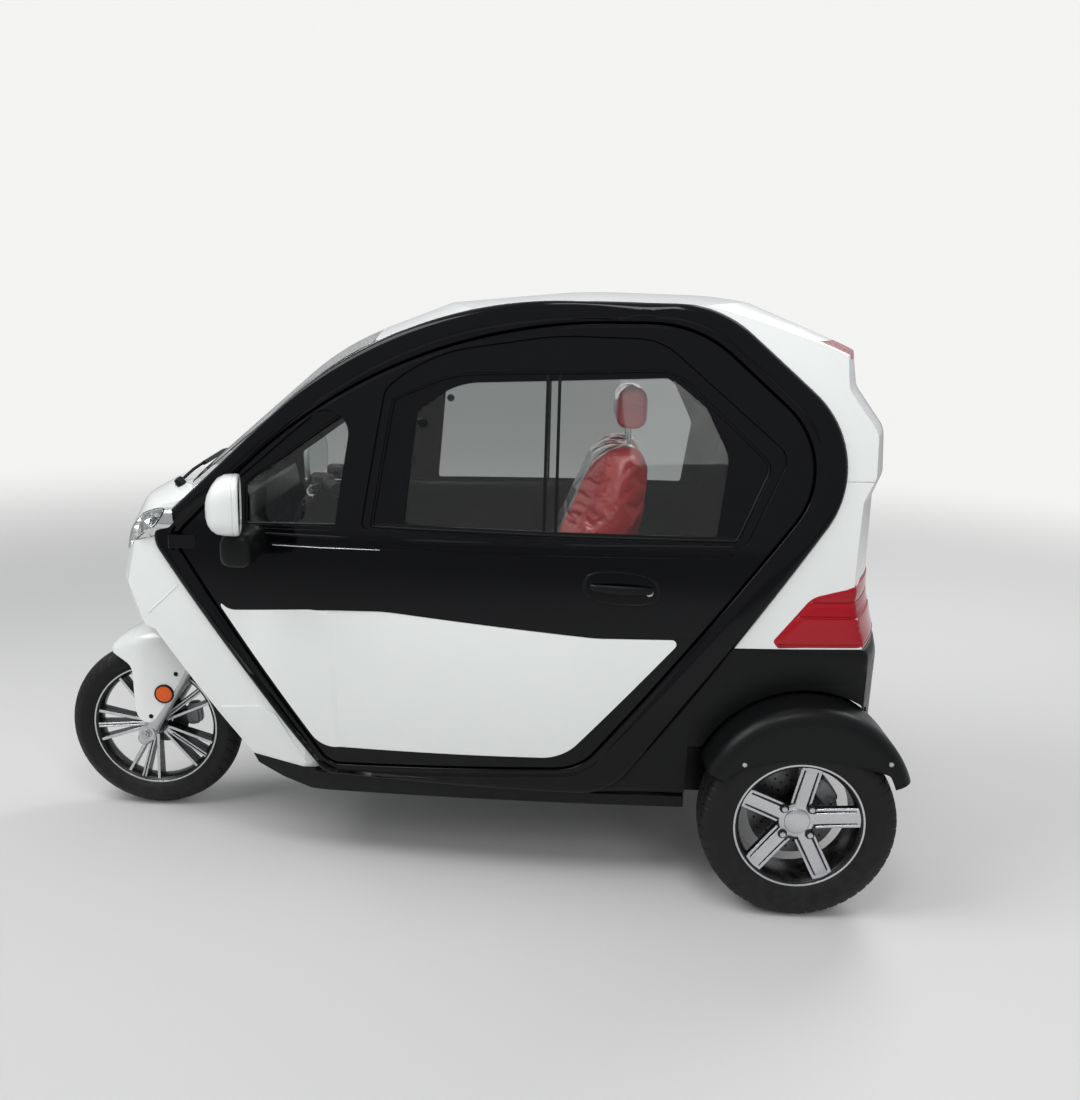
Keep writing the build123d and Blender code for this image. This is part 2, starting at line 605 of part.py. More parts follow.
# Seats, the battery box under the front one, and the dashboard
base_low = floor_top + seat_clearance
seat_base = box_between((-215, 60, base_low), (215, 430, 590)) - box_between((-207, 68, 200), (207, 422, 582))
save("seat_base", seat_base)
save("battery_box", box_between((-190, 80, base_low), (190, 410, 540)))
save("seat_cushion", soft_block((-235, -60, 590 + seat_clearance), (235, 400, 680), 45, 28))
back_line = [(215, 680.3, 40), (290, 912, 300), (404, 1175, 30), (512, 1185, 25), (500, 960, 100), (400, 680.3, 20)]
save("seat_back", side_prism(rounded_face(back_line), -225, 225))
headrest = soft_block((-110, 418, 1196), (110, 524, 1335), 40, 26)
for side in (-1, 1):
    headrest = headrest + rod((side * 60, 470, 1182), (side * 60, 470, 1250), 6)
save("headrest", one(headrest))
bench_low = deck_top + seat_clearance
bench = soft_block((-350, 700, bench_low), (350, 950, bench_low + 95), 30, 20)
bench_back = soft_block((-330, 954, bench_low), (330, 1010, 1000), 25, 16)
save("rear_bench", bench, bench_back)
dash_line = [(-700, 860, 10), (-760, 1000, 10), (-735, 1052, 10), (-560, 1052, 40), (-545, 960, 30),
             (-600, 860, 30)]
dash = side_prism(rounded_face(dash_line)) & between_sides(trim) & glass_inner & nose_inner
save("dashboard", one(dash))

# Doors: a hollow frame with two windows, a white lower panel, glass, handle and mirror
main_face = rounded_face(main_window)
quarter_face = rounded_face(quarter_window)
skin = side_band(0, door_skin) & side_prism(door_face)
inside = side_band(door_skin, door_depth) & side_prism(offset(door_face, -door_step))
for face in (main_face, quarter_face):
    skin = skin - side_prism(face)
    inside = inside - side_prism(offset(face, glass_lap))
door = skin + inside
leaf_low = hinge_bottom + hinge_leaf + 1
leaf_high = leaf_low + hinge_middle - 2
hinge_place = Pos(hinge_x, hinge_y, (leaf_low + leaf_high) / 2)
door = door + hinge_place * Cylinder(hinge_radius, leaf_high - leaf_low)
leaf_line = [(hinge_x + 1, hinge_y - hinge_radius), (hinge_x + hinge_radius, hinge_y),
             (side_x(-690, 900) + 6, -690), (side_x(-690, 900) - 3, -690),
             (side_x(-725, 900) - 2, -725), (side_x(-725, 900) + 14, -727), (hinge_x - 4, hinge_y)]
leaf = extrude(Pos(0, 0, leaf_low) * plain_face(leaf_line), leaf_high - leaf_low, dir=(0, 0, 1))
door = door + leaf - Pos(hinge_x, hinge_y, 900) * Cylinder(hinge_pin_radius + running_clearance, 200)
door = one(door)
white = side_band(-5, 0) & side_prism(rounded_face(lower_panel))
panes = [side_band(door_skin, door_skin + glass_wall) & side_prism(offset(face, glass_lap - 2))
         for face in (main_face, quarter_face)]
handle = Pos(side_x(440, 845) + 12, 440, 845) * fillet(Box(26, 176, 34).edges().filter_by(Axis.X), 14)
handle = handle - side_band(-seat_clearance, 60)
mirror_z, mirror_turn = 1030, 13
shell = Rot(90, 0, 0) * soft_block((-78, -76, -42), (78, 76, 42), 42, 28)
shell = Pos(474, -566, mirror_z) * Rot(0, 0, mirror_turn) * shell
stalk = Pos(0, -530, 902) * soft_block((side_x(-530, 902) - 12, -46, -30), (512, 46, 60), 26, 12)
mirror_solid = (shell + stalk) - side_band(-1, 60)
for side, turn in (("left", lambda solid: solid), ("right", mirrored)):
    save(f"{side}_door", turn(door))
    save(f"{side}_door_panel", turn(one(white)))
    save(f"{side}_door_glass", *[turn(one(pane)) for pane in panes])
    save(f"{side}_door_handle", turn(one(handle)))
    save(f"{side}_mirror", turn(one(mirror_solid)))
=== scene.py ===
import bpy
import json
from math import atan2, cos, pi, radians, sin, sqrt
from mathutils import Matrix, Vector


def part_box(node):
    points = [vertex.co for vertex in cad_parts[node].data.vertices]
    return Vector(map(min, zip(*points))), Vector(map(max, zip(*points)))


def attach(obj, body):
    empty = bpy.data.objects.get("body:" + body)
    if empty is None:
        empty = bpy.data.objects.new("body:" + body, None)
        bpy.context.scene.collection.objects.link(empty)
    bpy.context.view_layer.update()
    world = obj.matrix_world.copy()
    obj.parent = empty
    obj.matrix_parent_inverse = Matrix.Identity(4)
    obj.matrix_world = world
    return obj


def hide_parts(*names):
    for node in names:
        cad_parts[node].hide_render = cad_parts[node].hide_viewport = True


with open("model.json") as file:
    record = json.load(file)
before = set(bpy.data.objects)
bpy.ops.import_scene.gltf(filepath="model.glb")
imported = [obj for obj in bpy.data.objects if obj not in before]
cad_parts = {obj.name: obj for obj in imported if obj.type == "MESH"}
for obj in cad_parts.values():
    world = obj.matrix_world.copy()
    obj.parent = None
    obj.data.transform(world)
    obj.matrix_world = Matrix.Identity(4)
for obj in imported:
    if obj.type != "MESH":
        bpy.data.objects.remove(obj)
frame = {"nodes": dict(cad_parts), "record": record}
for name in ("Cube", "Light", "Camera"):  # what a new file starts with
    if name in bpy.data.objects:
        bpy.data.objects.remove(bpy.data.objects[name])
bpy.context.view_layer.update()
print("frame loaded,", len(frame["nodes"]), "nodes")

# camera, floor and light
camera = {"place": (3.1798, 0.2711, 1.5412), "yaw": 0.822, "pitch": 12.562, "roll": 1.484, "lens": 36.13}


def placeCamera():
    yaw, pitch, roll = (radians(camera[key]) for key in ("yaw", "pitch", "roll"))
    ahead = Vector((-cos(yaw) * cos(pitch), -sin(yaw) * cos(pitch), -sin(pitch)))
    level = Vector((-sin(yaw), cos(yaw), 0))
    over = level.cross(ahead)
    right = level * cos(roll) + over * sin(roll)
    up = over * cos(roll) - level * sin(roll)
    data = bpy.data.cameras.new("camera")
    data.lens = camera["lens"]
    data.clip_start, data.clip_end = 0.05, 200
    cam = bpy.data.objects.new("camera", data)
    turn = Matrix((right, up, -ahead)).transposed().to_4x4()
    cam.matrix_world = Matrix.Translation(camera["place"]) @ turn
    bpy.context.scene.collection.objects.link(cam)
    bpy.context.scene.camera = cam


def feed(tree, node, inputs):
    # gives a node's inputs their values, or links them to another node's output
    for label, value in inputs.items():
        if isinstance(value, bpy.types.NodeSocket):
            tree.links.new(value, node.inputs[label])
        else:
            node.inputs[label].default_value = value


def addNode(tree, kind, inputs=None, **settings):
    # adds a shader node and returns its outputs
    node = tree.nodes.new("ShaderNode" + kind)
    for key, value in settings.items():
        setattr(node, key, value)
    feed(tree, node, inputs or {})
    return node.outputs


def newPaint(name):
    paint = bpy.data.materials.new(name)
    paint.use_nodes = True
    return paint, paint.node_tree, paint.node_tree.nodes["Principled BSDF"]


studio = {
    "floorSize": 60, "floorColor": (0.60, 0.60, 0.59), "backdrop": (0.90, 0.90, 0.89),
    "fadeFrom": 2.6, "fadeTo": 8.0,  # metres from the car over which the floor turns into the backdrop
    "worldColor": (0.80, 0.82, 0.84), "worldStrength": 0.55,
    "lamps": [  # place, aim, size, watts, whether gloss shows it
        ((1.2, -2.6, 4.2), (0.0, 0.0, 0.7), 2.6, 120, True),
        ((4.8, 1.6, 3.4), (0.0, 0.2, 0.8), 2.4, 75, False),
        ((2.3, 0.4, 4.4), (0.0, 0.2, 0.8), 1.2, 34, True),
        ((-2.8, 2.8, 3.8), (0.0, 0.3, 0.9), 2.4, 110, True),
    ],
}


def makeWorld():
    # the camera sees the backdrop, the car is lit by a weaker sky
    world = bpy.data.worlds.new("studio")
    bpy.context.scene.world = world
    world.use_nodes = True
    tree = world.node_tree
    back = tree.nodes["Background"]
    feed(tree, back, {"Color": (*studio["worldColor"], 1), "Strength": studio["worldStrength"]})
    seen = addNode(tree, "Background", {"Color": (*studio["backdrop"], 1)})
    path = addNode(tree, "LightPath")
    anySeen = addNode(tree, "Math", {0: path["Is Camera Ray"], 1: path["Is Transmission Ray"]}, operation="MAXIMUM")
    mix = addNode(tree, "MixShader", {0: anySeen[0], 1: back.outputs[0], 2: seen[0]})
    feed(tree, tree.nodes["World Output"], {"Surface": mix[0]})


def makeFloor():
    # a floor that fades into the backdrop away from the car
    bpy.ops.mesh.primitive_plane_add(size=studio["floorSize"], location=(0, 0, -0.0006))
    floor = bpy.context.object
    floor.name = "studio_floor"
    paint, tree, shader = newPaint("studio_floor")
    feed(tree, shader, {"Base Color": (*studio["floorColor"], 1), "Roughness": 0.7, "Specular IOR Level": 0.25})
    pale = addNode(tree, "Emission", {"Color": (*studio["backdrop"], 1)})
    where = addNode(tree, "TexCoord")
    reach = addNode(tree, "VectorMath", {0: where["Object"]}, operation="LENGTH")
    fade = addNode(tree, "MapRange", {"Value": reach["Value"], "From Min": studio["fadeFrom"],
                                      "From Max": studio["fadeTo"]}, interpolation_type="SMOOTHSTEP")
    path = addNode(tree, "LightPath")
    seenOnly = addNode(tree, "Math", {0: fade[0], 1: path["Is Camera Ray"]}, operation="MULTIPLY")
    mix = addNode(tree, "MixShader", {0: seenOnly[0], 1: shader.outputs[0], 2: pale[0]})
    feed(tree, tree.nodes["Material Output"], {"Surface": mix[0]})
    floor.data.materials.append(paint)


def makeLamps():
    for index, (place, aim, size, watts, mirrored) in enumerate(studio["lamps"]):
        data = bpy.data.lights.new(f"soft_box_{index}", "AREA")
        data.size, data.energy = size, watts
        lamp = bpy.data.objects.new(data.name, data)
        lamp.location = place
        lamp.visible_glossy = mirrored
        lamp.rotation_euler = (Vector(aim) - Vector(place)).to_track_quat("-Z", "Y").to_euler()
        bpy.context.scene.collection.objects.link(lamp)


placeCamera()
makeWorld()
makeFloor()
makeLamps()
bpy.context.scene.view_settings.view_transform = "Standard"
print("camera and studio placed")


# finishes
def makeGroup(name, inputs, outputs):
    group = bpy.data.node_groups.new(name, "ShaderNodeTree")
    for label, kind, value in inputs:
        group.interface.new_socket(label, in_out="INPUT", socket_type=kind).default_value = value
    for label, kind in outputs:
        group.interface.new_socket(label, in_out="OUTPUT", socket_type=kind)
    return group, group.nodes.new("NodeGroupInput").outputs, group.nodes.new("NodeGroupOutput")


dustColor = (0.30, 0.28, 0.25, 1)


def usedSurface():
    # one pass of drift in colour and gloss, fine grain, and dust that gathers low down
    tree, given, out = makeGroup("usedSurface", [
        ("Color", "NodeSocketColor", (0.5, 0.5, 0.5, 1)), ("Drift", "NodeSocketFloat", 0.04),
        ("Roughness", "NodeSocketFloat", 0.4), ("Smears", "NodeSocketFloat", 0.08),
        ("Grain Scale", "NodeSocketFloat", 900.0), ("Dust", "NodeSocketFloat", 0.1),
        ("Dust Height", "NodeSocketFloat", 0.35)],
        [("Color", "NodeSocketColor"), ("Roughness", "NodeSocketFloat"), ("Height", "NodeSocketFloat")])
    where = addNode(tree, "TexCoord")["Object"]
    broad = addNode(tree, "TexNoise", {"Vector": where, "Scale": 3.5})
    fine = addNode(tree, "TexNoise", {"Vector": where, "Scale": 38, "Detail": 6})
    grain = addNode(tree, "TexNoise", {"Vector": where, "Scale": given["Grain Scale"], "Detail": 2})
    spread = addNode(tree, "MapRange", {"Value": broad["Fac"], "From Min": 0.3, "From Max": 0.7, "To Min": -1,
                                        "To Max": 1})
    drift = addNode(tree, "Math", {0: spread[0], 1: given["Drift"], 2: 1}, operation="MULTIPLY_ADD")
    tone = addNode(tree, "VectorMath", {0: given["Color"], "Scale": drift[0]}, operation="SCALE")
    split = addNode(tree, "SeparateXYZ", {0: where})
    low = addNode(tree, "MapRange", {"Value": split["Z"], "From Max": given["Dust Height"], "To Min": 1, "To Max": 0})
    patchy = addNode(tree, "MapRange", {"Value": fine["Fac"], "From Min": 0.35, "From Max": 0.72})
    dust = addNode(tree, "Math", {0: low[0], 1: patchy[0]}, operation="MULTIPLY")
    amount = addNode(tree, "Math", {0: dust[0], 1: given["Dust"]}, operation="MULTIPLY", use_clamp=True)
    mix = addNode(tree, "Mix", {"Factor": amount[0], 6: tone[0], 7: dustColor}, data_type="RGBA")
    smear = addNode(tree, "Math", {0: patchy[0], 1: given["Smears"], 2: given["Roughness"]}, operation="MULTIPLY_ADD")
    dull = addNode(tree, "Math", {0: amount[0], 1: 0.5, 2: smear[0]}, operation="MULTIPLY_ADD", use_clamp=True)
    feed(tree, out, {"Color": mix[2], "Roughness": dull[0], "Height": grain["Fac"]})
    return tree


surfaceGroup = usedSurface()

metal = {"Metallic": 1.0}
lacquer = {"Coat Weight": 0.6, "Coat Roughness": 0.04}
film = {"Coat Weight": 0.9, "Coat Roughness": 0.08}
finishes = {
    # colour, drift, roughness, smears, grain scale, grain height in mm, dust, dust height, plain shader values
    "body_white": ((0.78, 0.80, 0.785), 0.008, 0.22, 0.03, 260, 0.004, 0.05, 0.6, lacquer),
    "gloss_black": ((0.0020, 0.0021, 0.0030), 0.1, 0.06, 0.04, 240, 0.003, 0.02, 0.5, {"Specular IOR Level": 0.22}),
    "satin_black": ((0.0045, 0.0048, 0.0052), 0.12, 0.34, 0.08, 1500, 0.05, 0.02, 0.5, {"Specular IOR Level": 0.2}),
    "tyre_rubber": ((0.0050, 0.0050, 0.0055), 0.15, 0.52, 0.1, 1100, 0.06, 0.05, 0.3, {"Specular IOR Level": 0.3}),
    "wheel_alloy": ((0.62, 0.63, 0.65), 0.02, 0.26, 0.03, 1300, 0.008, 0.03, 0.4, metal),
    "rim_black": ((0.004, 0.004, 0.0045), 0.1, 0.24, 0.08, 500, 0.01, 0.06, 0.4, {"Specular IOR Level": 0.4}),
    # the brake discs' steel is painted dark: painted shade inside the wheels
    "brake_steel": ((0.16, 0.16, 0.165), 0.1, 0.36, 0.15, 700, 0.02, 0.15, 0.4, metal),
    "cast_metal": ((0.30, 0.305, 0.31), 0.1, 0.5, 0.1, 1800, 0.06, 0.25, 0.5, {"Metallic": 0.7}),
    "frame_paint": ((0.008, 0.008, 0.009), 0.1, 0.42, 0.12, 800, 0.03, 0.2, 0.5, {}),
    "bright_steel": ((0.56, 0.57, 0.58), 0.08, 0.22, 0.12, 900, 0.01, 0.2, 0.5, metal),
    "mirror_glass": ((0.75, 0.77, 0.78), 0.02, 0.03, 0.03, 200, 0.002, 0.02, 0.4, metal),
    "fork_silver": ((0.60, 0.61, 0.62), 0.05, 0.34, 0.08, 1300, 0.02, 0.10, 0.5, {"Metallic": 0.85}),
    "seat_cloth": ((0.56, 0.030, 0.034), 0.08, 0.30, 0.1, 620, 0.12, 0.0, 0.4, film),
    "seat_patch": ((0.20, 0.205, 0.215), 0.35, 0.4, 0.1, 420, 0.25, 0.0, 0.4, film),
    "lamp_red": ((0.36, 0.002, 0.010), 0.05, 0.12, 0.03, 150, 0.01, 0.02, 0.4, {"Specular IOR Level": 0.4}),
    "lamp_dark": ((0.13, 0.001, 0.004), 0.1, 0.14, 0.03, 150, 0.01, 0.02, 0.4, {"Specular IOR Level": 0.4}),
    "reflector_orange": ((0.72, 0.10, 0.004), 0.06, 0.16, 0.05, 900, 0.12, 0.04, 0.5, {"Specular IOR Level": 0.5}),
    "lamp_chrome": ((0.70, 0.71, 0.72), 0.03, 0.12, 0.04, 400, 0.01, 0.02, 0.4, metal),
    "trim_grey": ((0.035, 0.036, 0.038), 0.1, 0.5, 0.06, 1400, 0.05, 0.02, 0.5, {"Specular IOR Level": 0.35}),
    "strip_white": ((0.85, 0.86, 0.86), 0.02, 0.3, 0.04, 500, 0.02, 0.02, 0.5, {}),
    "lamp_clear": ((0.60, 0.63, 0.65), 0.05, 0.07, 0.03, 150, 0.01, 0.05, 0.4, {"Coat Weight": 1.0}),
}
filmed = {"names": ("seat_cloth", "seat_patch"), "depth": 0.0035, "bend": 14, "cells": 17,
          "shift": (0.09, 0.09, 0.16)}
softEdge = 0.0015  # metres over which edges look rounded


def creasedFilm(tree, normal):
    # creased clear film over the cloth: bent cells whose edges stand up
    where = addNode(tree, "TexCoord")["Object"]
    bend = addNode(tree, "TexNoise", {"Vector": where, "Scale": filmed["bend"]})
    shift = addNode(tree, "VectorMath", {0: bend["Color"], 1: filmed["shift"], 2: where}, operation="MULTIPLY_ADD")
    cells = addNode(tree, "TexVoronoi", {"Vector": shift[0], "Scale": filmed["cells"]}, feature="DISTANCE_TO_EDGE")
    return addNode(tree, "Bump", {"Distance": filmed["depth"], "Height": cells["Distance"],
                                  "Normal": normal})["Normal"]


def makeFinish(name):
    color, drift, rough, smears, grain, bump, dust, dustTop, plain = finishes[name]
    paint, tree, shader = newPaint(name)
    surface = addNode(tree, "Group", {"Color": (*color, 1), "Drift": drift, "Roughness": rough, "Smears": smears,
                                      "Grain Scale": grain, "Dust": dust, "Dust Height": dustTop},
                      node_tree=surfaceGroup)
    soft = addNode(tree, "Bevel", {"Radius": softEdge}, samples=4)
    normal = addNode(tree, "Bump", {"Distance": bump / 1000, "Height": surface["Height"],
                                    "Normal": soft["Normal"]})["Normal"]
    if name in filmed["names"]:
        normal = creasedFilm(tree, normal)
    feed(tree, shader, {**plain, "Base Color": surface["Color"], "Roughness": surface["Roughness"], "Normal": normal})
    return paint


def makeGlass(name, color, rough):
    paint, tree, shader = newPaint(name)
    where = addNode(tree, "TexCoord")
    noise = addNode(tree, "TexNoise", {"Vector": where["Object"], "Scale": 22})
    spread = addNode(tree, "MapRange", {"Value": noise["Fac"], "To Min": rough * 0.5, "To Max": rough * 1.6})
    feed(tree, shader, {"Base Color": (*color, 1), "Transmission Weight": 1.0, "IOR": 1.35, "Roughness": spread[0]})
    return paint


paints = {name: makeFinish(name) for name in finishes}
paints["window_glass"] = makeGlass("window_glass", (0.85, 0.87, 0.86), 0.02)
paints["lamp_lens"] = makeGlass("lamp_lens", (0.94, 0.95, 0.95), 0.01)
for item in frame["record"]["subparts"]:
    node = frame["nodes"][item["node"]]
    node.data.materials.clear()
    node.data.materials.append(paints[item["material_slot"]])
print("finishes made:", len(paints))


# ways of making shapes, used by every piece below
def deselectAll():
    bpy.ops.object.select_all(action="DESELECT")


def focus(piece, *others):
    deselectAll()
    for item in (piece, *others):
        item.select_set(True)
    bpy.context.view_layer.objects.active = piece
    return piece


def placeInMesh(piece):
    focus(piece)
    bpy.ops.object.transform_apply(location=True, rotation=True, scale=True)
    return piece


def tidyMesh(piece, merge=0.00002):
    focus(piece)
    bpy.ops.object.mode_set(mode="EDIT")
    bpy.ops.mesh.select_all(action="SELECT")
    bpy.ops.mesh.remove_doubles(threshold=merge)
    bpy.ops.mesh.normals_make_consistent(inside=False)
    bpy.ops.object.mode_set(mode="OBJECT")
    return piece


def smoothed(piece, angle=32):
    focus(piece)
    bpy.ops.object.shade_smooth_by_angle(angle=radians(angle))
    return piece


def modified(piece, kind, **values):
    focus(piece)
    step = piece.modifiers.new(kind.lower(), kind)
    for key, value in values.items():
        setattr(step, key, value)
    bpy.ops.object.modifier_apply(modifier=step.name)
    return piece


def beveled(piece, width, segments=2, angle=35):
    return modified(piece, "BEVEL", width=width, segments=segments, limit_method="ANGLE",
                    angle_limit=radians(angle), use_clamp_overlap=True)


def surfaceThrough(name, rows):
    # a grid primitive laid through rows of points
    across, along = len(rows[0]) - 1, len(rows) - 1
    deselectAll()
    bpy.ops.mesh.primitive_grid_add(x_subdivisions=across, y_subdivisions=along)
    piece = bpy.context.object
    piece.name = name
    flat = [value for row in rows for point in row for value in point]
    piece.data.vertices.foreach_set("co", flat)
    return tidyMesh(piece)


def filledOutline(name, points, push):
    # a flat outline filled and pushed into a prism
    deselectAll()
    bpy.ops.mesh.primitive_circle_add(vertices=len(points), fill_type="NGON")
    piece = bpy.context.object
    piece.name = name
    piece.data.vertices.foreach_set("co", [value for point in points for value in point])
    bpy.ops.object.mode_set(mode="EDIT")
    bpy.ops.mesh.select_all(action="SELECT")
    bpy.ops.mesh.extrude_region_move(TRANSFORM_OT_translate={"value": push})
    bpy.ops.mesh.select_all(action="SELECT")
    bpy.ops.mesh.normals_make_consistent(inside=False)
    bpy.ops.object.mode_set(mode="OBJECT")
    return piece


def spunOutline(name, points, centre, steps=96, axis=(1, 0, 0), angle=360):
    # an outline of (along, radius) turned about an axis through centre
    deselectAll()
    bpy.ops.mesh.primitive_circle_add(vertices=len(points))
    piece = bpy.context.object
    piece.name = name
    along = Vector(axis)
    out = Vector((0, 0, 1)) if abs(along.z) < 0.5 else Vector((0, 1, 0))
    out = (out - along * out.dot(along)).normalized()
    places = [Vector(centre) + along * a + out * r for a, r in points]
    piece.data.vertices.foreach_set("co", [value for place in places for value in place])
    bpy.ops.object.mode_set(mode="EDIT")
    bpy.ops.mesh.select_all(action="SELECT")
    bpy.ops.mesh.spin(steps=steps, angle=radians(angle), center=centre, axis=axis)
    bpy.ops.object.mode_set(mode="OBJECT")
    return tidyMesh(piece)


def steps(low, high, count):
    return [low + (high - low) * i / count for i in range(count + 1)]


def joined(name, pieces):
    focus(pieces[0], *pieces[1:])
    if len(pieces) > 1:
        bpy.ops.object.join()
    pieces[0].name = name
    return pieces[0]


def copied(piece, name, turn=None):
    # its own mesh, moved by a matrix that is applied to the mesh
    twin = piece.copy()
    twin.data = piece.data.copy()
    twin.name = name
    bpy.context.scene.collection.objects.link(twin)
    if turn is not None:
        twin.data.transform(turn)
        if turn.determinant() < 0:
            twin.data.flip_normals()
    return twin


mirrorX = Matrix.Scale(-1, 4, (1, 0, 0))


def combined(piece, cutter, how):
    modified(piece, "BOOLEAN", operation=how, solver="EXACT", object=cutter)
    return piece


def removed(*pieces):
    for piece in pieces:
        bpy.data.objects.remove(piece)


def painted(piece, finish):
    piece.data.materials.clear()
    piece.data.materials.append(paints[finish])
    return piece


def settled(piece, body, finish, *nodes, slot=None):
    # paint it, let it ride and hide the nodes it stands in for
    if finish:
        painted(piece, finish)
    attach(piece, body)
    if nodes:
        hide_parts(*nodes)
    return piece


# outlines in the side view, in millimetres: y, z, corner radius
def cornersGrown(table, grow):
    area = sum(a[0] * b[1] - b[0] * a[1] for a, b in zip(table, table[1:] + table[:1]))
    side = -1 if area > 0 else 1
    grown = []
    for index, (y, z, radius) in enumerate(table):
        before, after = Vector(table[index - 1][:2]), Vector(table[(index + 1) % len(table)][:2])
        here = Vector((y, z))
        first, second = (here - before).normalized(), (after - here).normalized()
        outFirst, outSecond = Vector((-first.y, first.x)) * side, Vector((-second.y, second.x)) * side
        corner = (outFirst + outSecond) / (1 + outFirst.dot(outSecond))
        convex = first.x * second.y - first.y * second.x
        grown.append((*(here + corner * grow), max(radius + (grow if convex * side < 0 else -grow), 0.5)))
    return grown


def outline(table, grow=0, arcs=8, edges=6):
    # evenly rounded points, in metres; arcs and edges may be lists, one count for each corner
    table = cornersGrown(table, grow) if grow else table
    count = len(table)
    arcs = arcs if isinstance(arcs, list) else [arcs] * count
    edges = edges if isinstance(edges, list) else [edges] * count
    ends = []
    for index, (y, z, radius) in enumerate(table):
        here = Vector((y, z))
        before, after = Vector(table[index - 1][:2]), Vector(table[(index + 1) % count][:2])
        first, second = (before - here).normalized(), (after - here).normalized()
        half = first.angle(second) / 2
        reach = radius * cos(half) / sin(half)
        centre = here + (first + second).normalized() * (radius / sin(half))
        ends.append((here + first * reach, here + second * reach, centre, radius))
    points = []
    for index, (start, end, centre, radius) in enumerate(ends):
        a, b = start - centre, end - centre
        sweep = atan2(a.x * b.y - a.y * b.x, a.dot(b))
        for step in range(arcs[index] + 1):
            angle = sweep * step / arcs[index]
            points.append(centre + Vector((a.x * cos(angle) - a.y * sin(angle), a.x * sin(angle) + a.y * cos(angle))))
        following = ends[(index + 1) % count][0]
        for step in range(1, edges[index]):
            points.append(end.lerp(following, step / edges[index]))
    return [(point.x / 1000, point.y / 1000) for point in points]


# the body side: an arc in section turned about a far upright axis
bodySide = {"halfWidth": 0.48, "widestY": 0.565, "widestZ": 0.72, "section": 2.4, "plan": 5.0}


def sideX(y, z, lift=0):
    b = bodySide
    drop = b["section"] - sqrt((b["section"] + lift) ** 2 - (z - b["widestZ"]) ** 2)
    return b["halfWidth"] - b["plan"] + sqrt((b["plan"] - drop) ** 2 - (y - b["widestY"]) ** 2)


def onSide(y, z, lift=0):
    return (sideX(y, z, lift), y, z)


def metres(table):
    # a table given in millimetres
    return [metres(row) if isinstance(row, (list, tuple)) else row / 1000 for row in table]


def kept(value, low, high):
    return max(low, min(high, value))


def walled(name, top, under):
    # two skins of the same grid, closed round their edges
    piece = joined(name, [surfaceThrough("top", top), surfaceThrough("under", under)])
    bpy.ops.object.mode_set(mode="EDIT")
    bpy.ops.mesh.select_all(action="DESELECT")
    bpy.ops.mesh.select_non_manifold()
    bpy.ops.mesh.bridge_edge_loops()
    bpy.ops.object.mode_set(mode="OBJECT")
    return tidyMesh(piece)


def formedPlate(name, edge, holes, skin, place, push, low, high, step):
    # a plate between two heights over a curved skin, cut to an outline
    lowA, highA = min(p[0] for p in edge) - step, max(p[0] for p in edge) + step
    lowB, highB = min(p[1] for p in edge) - step, max(p[1] for p in edge) + step
    alongA = steps(lowA, highA, max(2, int((highA - lowA) / step)))
    alongB = steps(lowB, highB, max(2, int((highB - lowB) / step)))
    over = high if callable(high) else lambda a, b: high
    plate = walled(name, [[skin(a, b, over(a, b)) for a in alongA] for b in alongB],
                   [[skin(a, b, low) for a in alongA] for b in alongB])
    cutter = filledOutline("cutter", [place(p) for p in edge], push)
    combined(plate, cutter, "INTERSECT")
    removed(cutter)
    for hole in holes:
        cutter = filledOutline("cutter", [place(p) for p in hole], push)
        combined(plate, cutter, "DIFFERENCE")
        removed(cutter)
    return smoothed(plate)


def sidePlate(name, table, holes=(), low=0, high=0.004, step=0.014, grow=0):
    cuts = [outline(hole, arcs=10, edges=8) for hole in holes]
    return formedPlate(name, outline(table, grow, arcs=10, edges=8), cuts, onSide, lambda p: (0.15, *p), (0.5, 0, 0),
                       low, high, step)


def tubeAlong(name, points, radius, closed=True, smooth=6):
    # a round trim bent along points
    curve = bpy.data.curves.new(name, "CURVE")
    curve.dimensions = "3D"
    curve.bevel_depth, curve.bevel_resolution = radius, smooth // 2
    line = curve.splines.new("POLY")
    line.points.add(len(points) - 1)
    for spot, place in zip(line.points, points):
        spot.co = (*place, 1)
    line.use_cyclic_u = closed
    curve.use_fill_caps = not closed
    piece = bpy.data.objects.new(name, curve)
    bpy.context.scene.collection.objects.link(piece)
    focus(piece)
    bpy.ops.object.convert(target="MESH")
    piece = bpy.context.object
    tidyMesh(piece)
    return smoothed(piece, 60)


def bothSides(piece, body, finish, nodes=(), slot=None):
    # the car's left and right sides are mirror images
    twin = copied(piece, piece.name.replace("left", "right"), mirrorX)
    right = body.replace("left", "right")
    settled(piece, body, finish, *nodes, slot=slot)
    settled(twin, right, finish, *[n.replace("left", "right") for n in nodes], slot=slot)
    return piece, twin


# glossy hoops that frame the doors
hoopLook = {
    "outer": [(-345, 265, 60), (-835, 912, 62), (-143, 1551, 1100), (668, 1551, 290), (1082, 1192, 250),
              (430, 265, 160)],
    "door": [(-330, 303, 60), (-752, 903, 50), (-157, 1497, 1400), (615, 1497, 300), (985, 1175, 205),
             (348, 345, 130)],
    "arcs": [10, 12, 36, 16, 16, 14], "edges": [26, 10, 12, 10, 26, 26],
    "gap": 6, "lip": 14, "lipDepth": 18, "depth": 58,  # the lip reaches inwards past the door edge
    # distance from the door edge or from the outer edge, then height over the body side, in mm
    "fromDoor": [(0, -18), (0, -4), (0.8, 1), (3, 3.6), (6, 4.6), (13, 5), (17, 6.4), (21, 9.2), (26, 10.8),
                 (32, 11.6)],
    "fromOuter": [(22, 12.2), (13, 11.8), (7, 10), (3, 6.6), (0.8, 2), (0, -4), (0, -20), (0, -58)],
}


